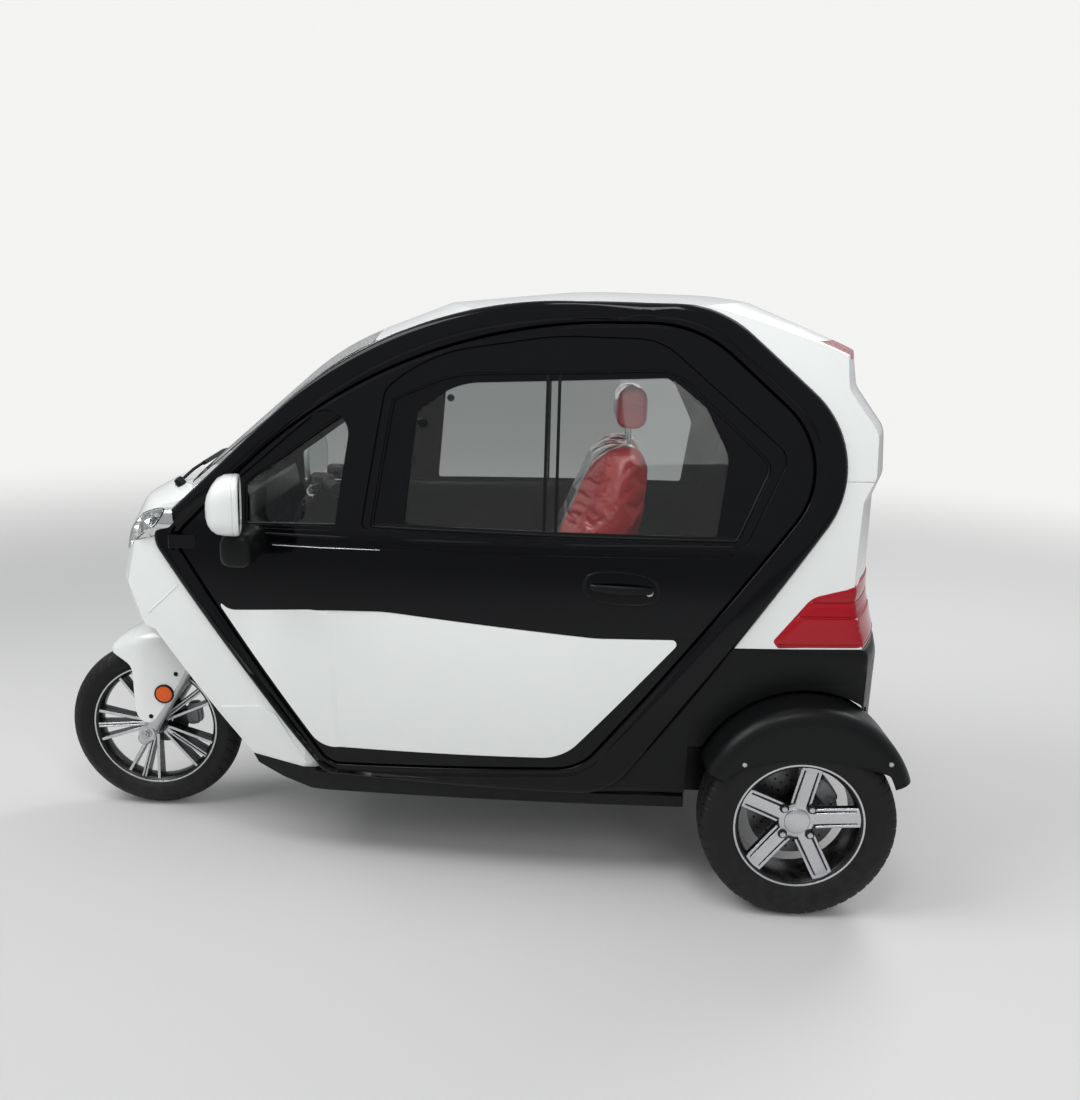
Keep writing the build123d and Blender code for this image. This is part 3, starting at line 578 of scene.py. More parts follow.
def makeHoop():
    look = hoopLook
    inner = outline(look["door"], look["gap"], look["arcs"], look["edges"])
    outer = outline(look["outer"], 0, look["arcs"], look["edges"])
    lip = outline(look["door"], -look["lip"], look["arcs"], look["edges"])
    rows = []
    for near, far, under in zip(inner, outer, lip):
        away = Vector((far[0] - near[0], far[1] - near[1]))
        reach = away.length
        away.normalize()
        row = [(*under, -look["depth"]), (*under, -look["lipDepth"])]
        spots = [(s / 1000, h) for s, h in look["fromDoor"]] + [(reach - s / 1000, h) for s, h in look["fromOuter"]]
        row += [(near[0] + away.x * s, near[1] + away.y * s, h) for s, h in spots]
        row.append(row[0])
        rows.append([onSide(y, z, h / 1000) for y, z, h in row])
    rows.append(rows[0])
    return smoothed(surfaceThrough("left_hoop_skin", rows), 40)


# the roof's white edge is bedded on the hoop's top
roofEdgeLook = {
    "front": -0.206, "back": 0.64, "lowest": 1.38,
    # distance from the hoop's outer line, then height over the body side, in mm
    "section": [(0.2, -56), (1.6, -56), (1.6, -40), (1.6, -24), (1.6, -9), (1.2, -6.5), (0.2, -5.5), (0.2, -56)],
}


def makeRoofEdge():
    look = roofEdgeLook
    lines = {grow: outline(hoopLook["outer"], grow, hoopLook["arcs"], hoopLook["edges"])
             for grow, h in look["section"]}
    rows = []
    for index, (y, z) in enumerate(lines[look["section"][1][0]]):
        if look["front"] < y < look["back"] and z > look["lowest"]:
            rows.append([onSide(*lines[grow][index], height / 1000) for grow, height in look["section"]])
    ends = [[tuple((a + b) / 2 for a, b in zip(place, row[0])) for place in row] for row in (rows[0], rows[-1])]
    return smoothed(surfaceThrough("left_roof_edge", [ends[0], *rows, ends[1]]), 40)


bothSides(makeHoop(), "car_body", "gloss_black", ["left_hoop"])
bothSides(makeRoofEdge(), "car_body", "body_white")
print("hoops made")

# doors: raised frame, belt, glass borders, seals and the small things on them
doorLook = {
    # upper black frame: front low corner, nose tip, roof curve, rear, then back along the white panel
    "frame": [(-640, 752, 5), (-746, 904, 46), (-157, 1491.5, 1394), (612, 1491.5, 295), (979, 1175, 200),
              (627, 719, 5), (380, 716, 500), (-170, 756, 600), (-350, 745, 150), (-596, 722, 50)],
    "mainHole": [(-232, 966, 14), (-176, 1322, 60), (-60, 1414, 420), (260, 1466, 700), (520, 1464, 160),
                 (852, 1186, 46), (748, 958, 30)],
    "quarterHole": [(-596, 946, 16), (-585, 1060, 40), (-246, 1352, 60), (-302, 958, 16)],
    "beltHole": [(-560, 912, 5), (-540, 932, 5), (700, 950, 5), (728, 936, 5), (640, 928, 5)],
    "mainGlass": [(-208, 968, 8), (-156, 1298, 12), (0, 1366, 300), (560, 1390, 120), (812, 1160, 40),
                  (728, 968, 15)],
    "quarterGlass": [(-548, 955, 10), (-550, 1066, 25), (-236, 1294, 15), (-286, 968, 10)],
    "clearView": [(-120, 974, 18), (-92, 1268, 24), (10, 1340, 200), (552, 1368, 60), (640, 1300, 30),
                  (700, 1180, 30), (676, 974, 20)],
    "raise": 0.0055,
    # the short bright steel line is a painted highlight on the front part of the belt groove
    "belts": [("left_belt_line", [(-470, 908), (-330, 910), (-180, 914)], 0.0012, "bright_steel"),
              ("left_belt_seal", [(-560, 936), (-380, 939), (0, 946), (400, 953), (716, 960)], 0.003, "satin_black")],
}


def makeDoorSkin():
    look = doorLook
    skin = sidePlate("left_door_frame", look["frame"], [look["mainHole"], look["quarterHole"], look["beltHole"]],
                     low=0.0002, high=look["raise"], step=0.016)
    bothSides(beveled(skin, 0.0012, 2, 50), "left_door", "gloss_black")
    # a black printed border on the main pane leaves the clear view
    border = sidePlate("left_glass_border", look["mainGlass"], [look["clearView"]], low=-0.0116, high=-0.0108,
                       step=0.03, grow=-1)
    bothSides(border, "left_door", "gloss_black")
    # rubber seals round both panes
    seals = []
    for key in ("mainGlass", "quarterGlass"):
        around = [onSide(y, z, -0.009) for y, z in outline(look[key], -2, arcs=8, edges=10)]
        seals.append(tubeAlong("seal", around, 0.0045))
    bothSides(joined("left_window_seals", seals), "left_door", "satin_black")
    # under the windows: a dark seal along the belt, and a short bright steel line over its front part, a painted
    # highlight where the belt groove catches light
    for name, belt, radius, finish in look["belts"]:
        places = [onSide(y / 1000, z / 1000, 0.0058) for y, z in belt]
        bothSides(tubeAlong(name, places, radius, closed=False), "left_door", finish)


panelLook = {
    "outline": [(-632, 745, 12), (-354, 351, 75), (305, 372, 130), (600, 716, 12), (380, 712, 500), (-170, 752, 600),
                (-350, 742, 150)],
    "crease": [(0.33, -0.308), (0.576, -0.314), (0.77, -0.329)],  # height and place of the upright crease
    "raise": 0.005, "sunk": 0.004, "ramp": 0.007, "fade": 0.4,  # the step's depth, and its reach front and back
}


def makeWhitePanel():
    # the white lower panel steps back behind an upright crease
    look = panelLook

    def over(y, z):
        (z0, y0), (z1, y1), (z2, y2) = look["crease"]
        line = y0 + (y1 - y0) * (z - z0) / (z1 - z0) if z < z1 else y1 + (y2 - y1) * (z - z1) / (z2 - z1)
        t, back = (kept((y - line) / look[key], 0, 1) for key in ("ramp", "fade"))
        return look["raise"] - look["sunk"] * t * (1 - back)

    panel = sidePlate("left_door_lower_skin", look["outline"], low=0.0002, high=over, step=0.007)
    bothSides(beveled(panel, 0.0012, 2, 50), "left_door", "body_white", ["left_door_panel"])


makeDoorSkin()
makeWhitePanel()
print("door frames made")

slider = {
    # ends of the two upright bars and the lower channel in the side view, in mm, then the height of the face
    "bars": [(236, 968, 244, 1386, -0.0085), (266, 968, 274, 1386, -0.01), (-200, 968, 726, 980, -0.008)],
    "foot": -0.0126, "knob": (-78, 1240),
}


def makeSlider():
    # the sliding pane's bars, its channel and its catch
    bars = []
    for y0, z0, y1, z1, face in slider["bars"]:
        path = [(y0, z0, 1), (y0, z1, 1), (y1, z1, 1), (y1, z0, 1)]
        bars.append(sidePlate("bar", path, low=slider["foot"], high=face, step=0.05))
    bothSides(joined("left_slider_bars", bars), "left_door", "satin_black")
    y, z = (value / 1000 for value in slider["knob"])
    knob = spunOutline("left_slider_catch", metres([(-1, 0), (0, 11), (6, 12), (8.5, 9), (9, 0)]),
                       onSide(y, z, -0.0115), steps=32)
    bothSides(smoothed(knob), "left_door", "satin_black")


makeSlider()

handleLook = {
    "y": 440, "z": 845, "cup": (98, 43), "lock": (512, 836), "grip": 0.158,
    # rings of the dish from its foot to its middle: share of its size, height
    "rings": [(1, 0), (1, 0.0062), (0.97, 0.0078), (0.93, 0.0074), (0.88, 0.003), (0.8, 0.0012), (0.6, 0.0008),
              (0.3, 0.0007), (0.02, 0.0007)],
}


def squircle(angle, power=0.55):
    # a place on a rounded square round the middle
    c, s = cos(angle), sin(angle)
    return abs(c) ** power * (1 if c > 0 else -1), abs(s) ** power * (1 if s > 0 else -1)


def makeHandle():
    # an oval dish in the door with a bowed grip across it and a key lock
    y0, z0 = handleLook["y"] / 1000, handleLook["z"] / 1000
    wide, tall = (value / 1000 for value in handleLook["cup"])
    rows = []
    for scale, lift in handleLook["rings"]:
        ring = []
        for step in range(49):
            angle = 2 * pi * step / 48
            flat, up = squircle(angle, 0.7)[0], squircle(angle, 0.8)[1]
            ring.append(onSide(y0 + wide * scale * flat, z0 + tall * scale * up - 0.006 * flat * scale, lift))
        rows.append(ring)
    dish = smoothed(surfaceThrough("left_handle_dish", rows), 50)
    bothSides(dish, "left_door", "satin_black")
    rows = []
    for t in steps(0, 1, 24):
        lift = 0.006 + 0.016 * sin(pi * t) ** 0.45
        half = 0.0115 - 0.003 * (2 * t - 1) ** 2
        rows.append([onSide(y0 + (t - 0.5) * handleLook["grip"], z0 + half * sin(angle) + 0.004 * (0.5 - t),
                            lift + 0.0055 * cos(angle)) for angle in steps(0, 2 * pi, 16)])
    grip = smoothed(surfaceThrough("left_handle_grip", rows), 60)
    bothSides(grip, "left_door", "satin_black", ["left_door_handle"])
    y, z = (value / 1000 for value in handleLook["lock"])
    lock = spunOutline("left_handle_lock", metres([(0, 0), (0, 8.8), (4, 9.2), (5.5, 7.5), (5, 5), (6.2, 4),
                                                   (6.2, 0)]), onSide(y, z, 0.004), steps=32)
    bothSides(smoothed(lock), "left_door", "bright_steel")


makeHandle()

mirrorLook = {
    "centre": (0.474, -0.566, 1.03), "turn": 13,
    # rings of the shell from its glass to its nose: depth, half width, half height, shift up
    "rings": metres([(40, 70, 68, 0), (42, 73, 71, 0), (41, 75.5, 73.5, 0), (37, 77.2, 75.2, 0),
                     (29, 77.8, 75.8, 0), (28.2, 76.4, 74.4, 0), (26.8, 76.4, 74.4, 0), (26, 77.6, 75.6, 0),
                     (6, 76.8, 74.2, 0), (-12, 71.5, 68, -3), (-25, 60, 56, -7), (-35, 42, 40, -10),
                     (-40.2, 22, 22, -12), (-41.7, 2, 2, -13)]),
    # rings of the foot out of the door: x, middle y, middle z, half length, half height
    "foot": metres([(335, -530, 915, 45, 41), (352, -530, 915, 45, 41), (370, -530, 915, 42.5, 38),
                    (410, -530, 917, 41.5, 40), (480, -530, 917, 41.5, 43), (500, -530, 917, 38.5, 41),
                    (508, -530, 918, 32, 36), (511.5, -530, 918, 18, 22), (512, -530, 918, 1, 1)]),
}


def squircles(count, power, turn=2 * pi):
    return [squircle(turn * step / count, power) for step in range(count + 1)]


def onMirror(across, deep, high):
    centre, turn = mirrorLook["centre"], radians(mirrorLook["turn"])
    return (centre[0] + across * cos(turn) - deep * sin(turn), centre[1] + across * sin(turn) + deep * cos(turn),
            centre[2] + high)


def makeMirror():
    rows = []
    for deep, wide, tall, up in mirrorLook["rings"]:
        rows.append([onMirror(a * wide, deep, b * tall + up) for a, b in squircles(64, 0.62)])
    shell = smoothed(surfaceThrough("left_mirror_shell", rows), 50)
    bothSides(shell, "left_door", "body_white", ["left_mirror"])
    face = [[onMirror(a * scale, 0.0398, b * scale * 0.972) for a, b in squircles(64, 0.62)]
            for scale in (0.0702, 0.05, 0.02, 0.0005)]
    face = smoothed(surfaceThrough("left_mirror_face", face), 60)
    bothSides(face, "left_door", "mirror_glass", slot="bright_steel")
    rows = [[(x, y0 + a * long, z0 + b * tall) for a, b in squircles(40, 0.6)]
            for x, y0, z0, long, tall in mirrorLook["foot"]]
    bothSides(smoothed(surfaceThrough("left_mirror_foot", rows), 50), "left_door", "satin_black")


makeMirror()
print("door fittings made")

# wheels and tyres
wheelLook = {
    "rear": {"centre": (0.504, 0.915, 0.254), "spokes": 81,
             "barrel": metres([(59, 169), (59.4, 164), (57, 160), (49, 154.5), (30, 150), (-50, 150), (-58, 156),
                               (-59, 169), (-55, 169), (-54, 157.5), (54, 157.5), (55, 169)]),
             "ring": metres([(58.5, 163.4), (59.8, 163.8), (60.2, 166), (59.8, 168.6), (58.5, 169)]),
             "hub": metres([(-62, 13), (-62, 52), (-30, 52), (-30, 40), (14, 44), (24, 47), (28.5, 44), (30, 40),
                            (30, 10), (20, 13)]),
             "cap": metres([(28, 0), (37.2, 0), (36.8, 15), (35.6, 27), (33.8, 32.5), (30.5, 34), (28, 34)]),
             "disc": metres([(-35, 48), (-35, 118), (-31, 118), (-31, 48)]),
             "hubTop": metres([(20, 0), (31.2, 0), (31.2, 39.5), (30, 44), (28, 46.5), (20, 46.5)]),
             "pocket": metres([(25, 0), (33.5, 0), (33.5, 9.5), (34.5, 10.5), (34.5, 12.2), (25, 12.5)]),
             "nut": metres([(33, 0), (42, 0), (42, 4.5), (40.5, 7.8), (33, 7.8)]), "nutCircle": 0.05,
             "hole": metres([(-32, 0), (-30.7, 0), (-30.7, 3.2), (-32, 3.2)]), "holeCircles": (0.07, 0.086, 0.102)},
    "front": {"centre": (0, -0.933, 0.258), "fans": 39,
              "barrel": metres([(30, 188), (30.4, 183.5), (27.5, 179.5), (20, 173.5), (8, 170.5), (-8, 170.5),
                                (-20, 173.5), (-27.5, 179.5), (-30.4, 183.5), (-30, 188), (-26, 188), (-25, 177.5),
                                (25, 177.5), (26, 188)]),
              "ring": metres([(29.6, 182.9), (30.7, 183.3), (31.1, 185.5), (30.7, 187.6), (29.6, 188)]),
              "hub": metres([(-54, 8.5), (-54, 23), (-40, 25), (-22, 33), (22, 33), (40, 25), (54, 23), (54, 8.5)]),
              "disc": metres([(-44, 30), (-44, 80), (-40, 80), (-40, 30)]),
              "boss": metres([(12, 8.5), (22.5, 8.5), (22.5, 24), (20.5, 27.5), (12, 27.5)])},
    # halves of a caliper: low, high, half length; then its bolts
    "caliper": metres([(-26, -6, 40), (-6, 20, 36)]),
    "bolt": metres([(15, 0), (25, 0), (25, 4), (23.5, 5.5), (15, 5.5)]), "boltOut": 0.028,
}


def onWheel(centre, degrees, r, t, x):
    # a point of a spoke: distance out, distance across, distance along the axle
    a = radians(degrees)
    return (centre[0] + x, centre[1] + r * cos(a) - t * sin(a), centre[2] + r * sin(a) + t * cos(a))


def ended(rings):
    # closes both ends of a row of rings with their middle points
    middles = [tuple(sum(values) / len(ring) for values in zip(*ring)) for ring in (rings[0], rings[-1])]
    return [[middles[0]] * len(rings[0]), *rings, [middles[1]] * len(rings[0])]


def spokeStrip(name, centre, degrees, rows, face, lift, depth, crown=0.0006, edge=0.0009):
    # a bar along a spoke, from rows of: distance out, one edge, other edge
    loops = []
    for r, t1, t2 in rows:
        top = face(r) + lift
        spots = [(t1, top - depth), (t1, top - edge), (t1 + edge, top), ((t1 + t2) / 2, top + crown),
                 (t2 - edge, top), (t2, top - edge), (t2, top - depth)]
        spots.append(spots[0])
        loops.append([onWheel(centre, degrees, r, t, x) for t, x in spots])
    return surfaceThrough(name, ended(loops))


def rearFace(r):
    return 0.03 + 0.0262 * max(0, (r - 0.037) / 0.13) ** 1.25


def makeRearWheel():
    look = wheelLook["rear"]
    centre, black, bright = look["centre"], [], []
    for index in range(5):
        angle = look["spokes"] + 72 * index
        black.append(spokeStrip("spoke", centre, angle, [(r, -0.027, 0.027) for r in steps(0.03, 0.16, 10)],
                                rearFace, -0.0034, 0.015))
        band = [(r, -0.0152, 0.0152) for r in steps(0.034, 0.149, 10)]
        band += metres([(150, -26.2, 26.2), (159, -26.2, 26.2), (165.5, -26.2, 26.2)])
        bright.append(spokeStrip("band", centre, angle, band, rearFace, 0, 0.006))
        for side in (-1, 1):
            rib = [(r, *sorted((side * (0.0205 - 0.002 * (r - 0.05) / 0.1), side * 0.0268)))
                   for r in steps(0.046, 0.1505, 8)]
            bright.append(spokeStrip("rib", centre, angle, rib, rearFace, -0.0004, 0.006, 0.0002))
    bright += [spunOutline("ring", look["ring"], centre, 128), spunOutline("cap", look["cap"], centre, 64)]
    bright.append(spunOutline("hub top", look["hubTop"], centre, 64))
    for index in range(4):
        spot = onWheel(centre, 45 + 90 * index, look["nutCircle"], 0, 0)
        black.append(spunOutline("pocket", look["pocket"], spot, 24))
        bright.append(spunOutline("nut", look["nut"], spot, 6))
    black += [spunOutline("barrel", look["barrel"], centre, 128), spunOutline("hub", look["hub"], centre, 48)]
    black = smoothed(joined("left_rear_wheel_black", black), 40)
    bothSides(black, "rear_left_wheel", "rim_black", ["rear_left_wheel"], slot="wheel_alloy")
    bothSides(smoothed(joined("left_rear_wheel_bright", bright), 30), "rear_left_wheel", "wheel_alloy")
    # a drilled brake disc turns with the wheel, its caliper stays on the axle; the disc's steel is painted dark, as
    # painted shade inside the wheel
    disc = spunOutline("left_rear_brake_disc", look["disc"], centre, 96)
    bothSides(smoothed(disc), "rear_left_wheel", "brake_steel", slot="bright_steel")
    # black discs on the disc's outer face stand for its drilled holes: their black is painted shade
    holes = []
    for index in range(60):
        spot = onWheel(centre, index * 6, look["holeCircles"][index % 3], 0, 0)
        holes.append(spunOutline("hole", look["hole"], spot, 8))
    bothSides(joined("left_rear_disc_holes", holes), "rear_left_wheel", "satin_black")
    caliper = makeCaliper("left_rear_caliper", centre, 38, 0.098, -0.033)
    bothSides(caliper, "car_body", "cast_metal", slot="bright_steel")


def makeCaliper(name, centre, degrees, r, x, size=1):
    # a rounded two part block astride the disc with a bolt at each end
    parts = []
    for low, high, wide in wheelLook["caliper"]:
        rows = []
        for k, shrink in ((low, 0.86), (low + 0.003, 1), (high - 0.004, 1), (high, 0.84)):
            rows.append([onWheel(centre, degrees, r + a * 0.024 * shrink * size, b * wide * shrink * size, x + k)
                         for a, b in squircles(24, 0.5)])
        parts.append(surfaceThrough("block", ended(rows)))
    for side in (-1, 1):
        spot = onWheel(centre, degrees, r, side * wheelLook["boltOut"] * size, x)
        parts.append(spunOutline("bolt", wheelLook["bolt"], spot, 6))
    return smoothed(joined(name, parts), 35)


def frontFace(r):
    return 0.0165 + 0.0085 * max(0, (r - 0.03) / 0.15)


def makeFrontWheel():
    look = wheelLook["front"]
    centre, black, bright = look["centre"], [], []
    for side in (-1, 1):
        # the first face is made on the near side, then turned to the far side
        for index in range(5):
            angle = look["fans"] + 72 * index
            bars = []
            for lean in (-1, 1):
                fan = [(r, 0.0395 * (r - 0.022) / 0.153) for r in steps(0.022, 0.1765, 8)]
                bars.append([(r, *sorted((lean * (0.003 + out), lean * (0.012 + out)))) for r, out in fan])
                bars.append([(r, *sorted((lean * 0.0016, lean * 0.0068))) for r in steps(0.052, 0.18, 6)])
            bars.append([(r, -0.0066, 0.0066) for r in steps(0.026, 0.056, 4)])
            for bar in bars:
                bright.append(spokeStrip("face", centre, angle, bar, frontFace, 0, 0.003, 0.0002, 0.0007))
                body = [(r, a - 0.0006, b + 0.0006) for r, a, b in bar]
                black.append(spokeStrip("side", centre, angle, body, frontFace, -0.0016, 0.02, 0))
        bright.append(spunOutline("ring", look["ring"], centre, 144))
        bright.append(spunOutline("boss", look["boss"], centre, 48))
        if side == -1:
            near = [joined("bright", bright), joined("black", black)]
            bright, black = ([copied(piece, "far " + piece.name, mirrorX)] for piece in near)
            removed(*near)
    black += [spunOutline("barrel", look["barrel"], centre, 144), spunOutline("hub", look["hub"], centre, 48)]
    settled(smoothed(joined("front_wheel_black", black), 40), "front_wheel", "rim_black", "front_wheel",
            slot="wheel_alloy")
    settled(smoothed(joined("front_wheel_bright", bright), 30), "front_wheel", "wheel_alloy")
    # the disc's steel is painted dark, as painted shade inside the wheel
    disc = smoothed(spunOutline("front_brake_disc", look["disc"], centre, 72))
    settled(disc, "front_wheel", "brake_steel", slot="bright_steel")
    caliper = makeCaliper("front_caliper", centre, 8, 0.096, -0.046, 0.85)
    settled(caliper, "steering", "cast_metal", slot="bright_steel")


tyreLook = {
    "rear": {"centre": (0.504, 0.915, 0.254), "steps": 424, "pitch": 53, "seat": 0.1578,
             # x and radius from the bead to the crown
             "wall": metres([(53, 157.8), (57, 165), (60, 170), (61.2, 172.2), (62.5, 172.8), (66.8, 181),
                             (70.5, 193), (72.2, 205), (72.2, 213), (72.8, 215), (72.6, 218), (71.2, 223),
                             (69.2, 231), (65.5, 239.5), (60, 246), (54, 249.2)]),
             "grooves": [-0.03, 0, 0.03], "crown": lambda x: 0.254 - 1.62 * x * x},
    "front": {"centre": (0, -0.933, 0.258), "steps": 660, "pitch": 44, "seat": 0.1778, "shoulder": 74,
              "wall": metres([(24, 177.8), (27.5, 184), (30, 188), (31.8, 190), (37.2, 197), (42.5, 207),
                              (45.2, 217)])},
}


def makeRearTyre():
    look = tyreLook["rear"]
    columns = [(x, r, 0, 0) for x, r in look["wall"]]
    spots = [(0.0455, 0, 0), (0.04, 0, 0)]
    for centre in reversed(look["grooves"]):
        spots += [(centre + 0.0075, 0, 1), (centre + 0.0036, 0, 1), (centre + 0.0026, 0.0055, 1),
                  (centre - 0.0026, 0.0055, 1), (centre - 0.0036, 0, 1), (centre - 0.0075, 0, 1)]
        if centre > look["grooves"][0]:
            spots.append((centre - 0.015, 0, 0.5))
    spots += [(-0.04, 0, 0), (-0.0455, 0, 0)]
    columns += [(x, look["crown"](x), deep, sway) for x, deep, sway in spots]
    columns += [(-x, r, 0, 0) for x, r in reversed(look["wall"])]
    columns += [(-0.04, look["seat"], 0, 0), (0.04, look["seat"], 0, 0), columns[0]]
    rows = []
    total = look["steps"]
    for step in range(total + 1):
        phase = (step * look["pitch"] / total) % 1
        zig = 4 * abs(phase - 0.5) - 1
        slot = step % (total // look["pitch"]) == 0
        row = []
        for x, r, deep, sway in columns:
            if slot and 0.038 < abs(x) < 0.07 and r > 0.23:
                deep = 0.0032
            row.append(onWheel(look["centre"], 360 * step / total, r - deep, 0, x + 0.0042 * zig * sway))
        rows.append(row)
    tyre = smoothed(surfaceThrough("left_rear_tyre_skin", rows), 34)
    bothSides(tyre, "rear_left_wheel", "tyre_rubber", ["rear_left_tyre"])


def makeFrontTyre():
    look = tyreLook["front"]
    side = [(x, r, None) for x, r in look["wall"]]
    tread = []
    shoulder = radians(look["shoulder"])
    for step in range(33):
        # the crown is an arc between the shoulders; s runs over it from edge to edge
        s = 1 - 2 * step / 32
        rise = (cos(s * shoulder) - cos(shoulder)) / (1 - cos(shoulder))
        tread.append((0.046 * sin(s * shoulder) / sin(shoulder), 0.2235 + 0.0345 * rise, s))
    columns = side + tread + [(-x, r, None) for x, r in reversed(look["wall"])]
    columns += [(-0.018, look["seat"], None), (0.018, look["seat"], None), columns[0]]
    rows = []
    total = look["steps"]
    for step in range(total + 1):
        along = step * look["pitch"] / total
        row = []
        for x, r, s in columns:
            deep = 0
            if s is not None and 0.08 < abs(s) < 0.93:
                reach = abs(s)
                lean = 0.95 * reach + (0.22 if reach > 0.52 else 0) + (0.5 if s < 0 else 0)
                away = abs((along - lean + 0.5) % 1 - 0.5)
                deep = 0.0036 * max(0, min(1, (0.085 - away) / 0.03))
                if 0.48 < reach < 0.56:
                    jog = (along - 0.95 * reach - (0.5 if s < 0 else 0)) % 1
                    deep = max(deep, 0.0036 if jog < 0.3 or jog > 0.94 else 0)
            row.append(onWheel(look["centre"], 360 * step / total, r - deep, 0, x))
        rows.append(row)
    tyre = smoothed(surfaceThrough("front_tyre_skin", rows), 34)
    settled(tyre, "front_wheel", "tyre_rubber", "front_tyre")


makeRearWheel()
makeFrontWheel()
makeRearTyre()
makeFrontTyre()
print("wheels made")


def block(name, low, high, edge=0.002, segments=2):
    # a bevelled bar between two corners
    deselectAll()
    bpy.ops.mesh.primitive_cube_add(size=1, location=[(a + b) / 2 for a, b in zip(low, high)],
                                    scale=[b - a for a, b in zip(low, high)])
    piece = bpy.context.object
    piece.name = name
    placeInMesh(piece)
    return smoothed(beveled(piece, edge, segments), 40)


def between(table, value):
    # a smooth line through rows of: place, value
    if value <= table[0][0]:
        return table[0][1]
    for (a, first), (b, second) in zip(table, table[1:]):
        if value <= b:
            return first + (second - first) * (value - a) / (b - a)
    return table[-1][1]


# rear mudguards: a rolled arch with a deep side skirt
mudguardLook = {
    "centre": (0.928, 0.297), "radius": 0.277, "inner": 0.396, "outer": 0.5868, "wall": 0.0035,
    "front": 159, "rear": 19, "rolled": 0.54, "drop": 0.042,
    "skirt": metres([(690, 366), (702, 380), (735, 401), (775, 419), (840, 434), (915, 440), (1000, 437),
                     (1065, 427), (1120, 412), (1180, 393), (1200, 386)]),
    "screws": [(0.761, 0.427), (1.126, 0.44)],
    "head": metres([(0, 0), (0, 6.2), (1, 6), (2, 4.2), (1.4, 2), (1.4, 0)]),
    # two corners of each plate
    "foot": [(0.362, 0.855, 0.5803), (0.4, 0.975, 0.5843)], "web": [(0.396, 0.855, 0.56), (0.4, 0.975, 0.5843)],
    "splash": [(0.372, 0.59, 0.258), (0.3755, 0.735, 0.47)],
}


def makeMudguards():
    look = mudguardLook
    y0, z0 = look["centre"]
    rows = []
    for angle in steps(look["rear"], look["front"], 96):
        c, s = cos(radians(angle)), sin(radians(angle))
        low = look["radius"] - 0.03
        while low > 0.1 and z0 + low * s > between(look["skirt"], y0 + low * c):
            low -= 0.0005
        inset, rolled = look["inner"], look["rolled"]
        path = [(inset, look["radius"] - 0.001), (inset + 0.02, look["radius"]), (0.53, look["radius"])]
        top = look["radius"] - look["drop"]
        for step in range(1, 10):
            turn = radians(90 * step / 10)
            path.append((rolled + (look["outer"] - rolled) * sin(turn) ** 0.9,
                         look["radius"] - look["drop"] * (1 - cos(turn) ** 0.9)))
        low = min(low, top - 0.004)
        path += [(look["outer"], top + (low - top) * t) for t in (0, 0.25, 0.5, 0.75, 0.94)]
        path.append((look["outer"] + 0.0006, low))
        inner = []
        for index, (x, r) in enumerate(path):
            before, after = path[max(index - 1, 0)], path[min(index + 1, len(path) - 1)]
            along = Vector((after[0] - before[0], after[1] - before[1])).normalized()
            inner.append((x + along.y * look["wall"], r - along.x * look["wall"]))
        loop = path + inner[::-1] + path[:1]
        middle = [((a[0] + b[0]) / 2, (a[1] + b[1]) / 2) for a, b in zip(path, inner)]
        ring, folded = ([(x, y0 + r * c, z0 + r * s) for x, r in line]
                        for line in (loop, middle + middle[::-1] + middle[:1]))
        rows += [ring] if rows else [folded, ring]
    rows.append(folded)
    guard = smoothed(surfaceThrough("left_rear_mudguard", rows), 42)
    foot, web = (block(name, *look[name], 0.001) for name in ("foot", "web"))
    bothSides(joined("left_rear_mudguard", [guard, foot, web]), "car_body", "satin_black", ["rear_mudguards"])
    splash = block("splash", *look["splash"], 0.001)
    bothSides(joined("left_splash_plate", [splash]), "car_body", "satin_black")
    screws = [spunOutline("screw", look["head"], (look["outer"], y, z), 20) for y, z in look["screws"]]
    bothSides(smoothed(joined("left_mudguard_screws", screws), 40), "car_body", "bright_steel")


# the tail: the body side and a turned back, with a soft corner between them
tailLook = {
    "axisY": 0.19, "corner": 0.01,
    "profile": metres([(240, 993), (600, 1000.5), (680, 993), (740, 974), (800, 960), (860, 955.5), (1000, 955.2),
                       (1075, 957.5), (1135, 974), (1245, 964)]),
    "lampFront": metres([(699, 850), (705.5, 839), (717, 832.5), (730, 841), (820, 915), (834, 933), (843, 962),
                         (853, 1006), (864, 1040), (871, 1064)]),
    "lampBack": 0.236,
    # heights of the lens rows, then how far it stands proud at a height
    "levels": metres([699.6, 701, 706, 711, 717, 725, 740, 756, 770, 776, 778.5, 780, 782.5, 785, 790, 800, 812,
                      820, 826, 833, 840, 846, 852, 858, 864, 869, 870.6]),
    "proud": metres([(699.6, -1.2), (701, 0.4), (711, 2.6), (740, 3.4), (776, 4.6), (778.5, 1), (782.5, 0.8),
                     (785, 3), (812, 2), (820, 0.2), (833, 2.2), (864, 3), (869, 0.6), (870.6, -1.2)]),
    # low edge, high edge and height of each dark seam
    "bands": metres([(778, 783, 1.8), (818.5, 821.5, 1.2), (708.5, 710, 3)]),
}


def tailSkin(angle, z, lift=0):
    # a place on the tail at an angle from straight back, seen from above
    c, s = cos(angle), sin(angle)
    axis = tailLook["axisY"]
    low, high = 0, 1.6
    for step in range(40):
        middle = (low + high) / 2
        if middle * s > sideX(axis + middle * c, z, lift):
            high = middle
        else:
            low = middle
    back = between(tailLook["profile"], z) + lift
    soft = tailLook["corner"]
    blend = kept(0.5 + 0.5 * (back - low) / soft, 0, 1)
    r = back + (low - back) * blend - soft * blend * (1 - blend)
    return (r * s, axis + r * c, z)


def tailAngle(z, y=None, x=None):
    # the angle at which the skin reaches this y on the side, or this x at the back
    low, high = 0, 1.5
    for step in range(36):
        middle = (low + high) / 2
        spot = tailSkin(middle, z)
        if (y is not None and spot[1] < y) or (x is not None and spot[0] > x):
            high = middle
        else:
            low = middle
    return low


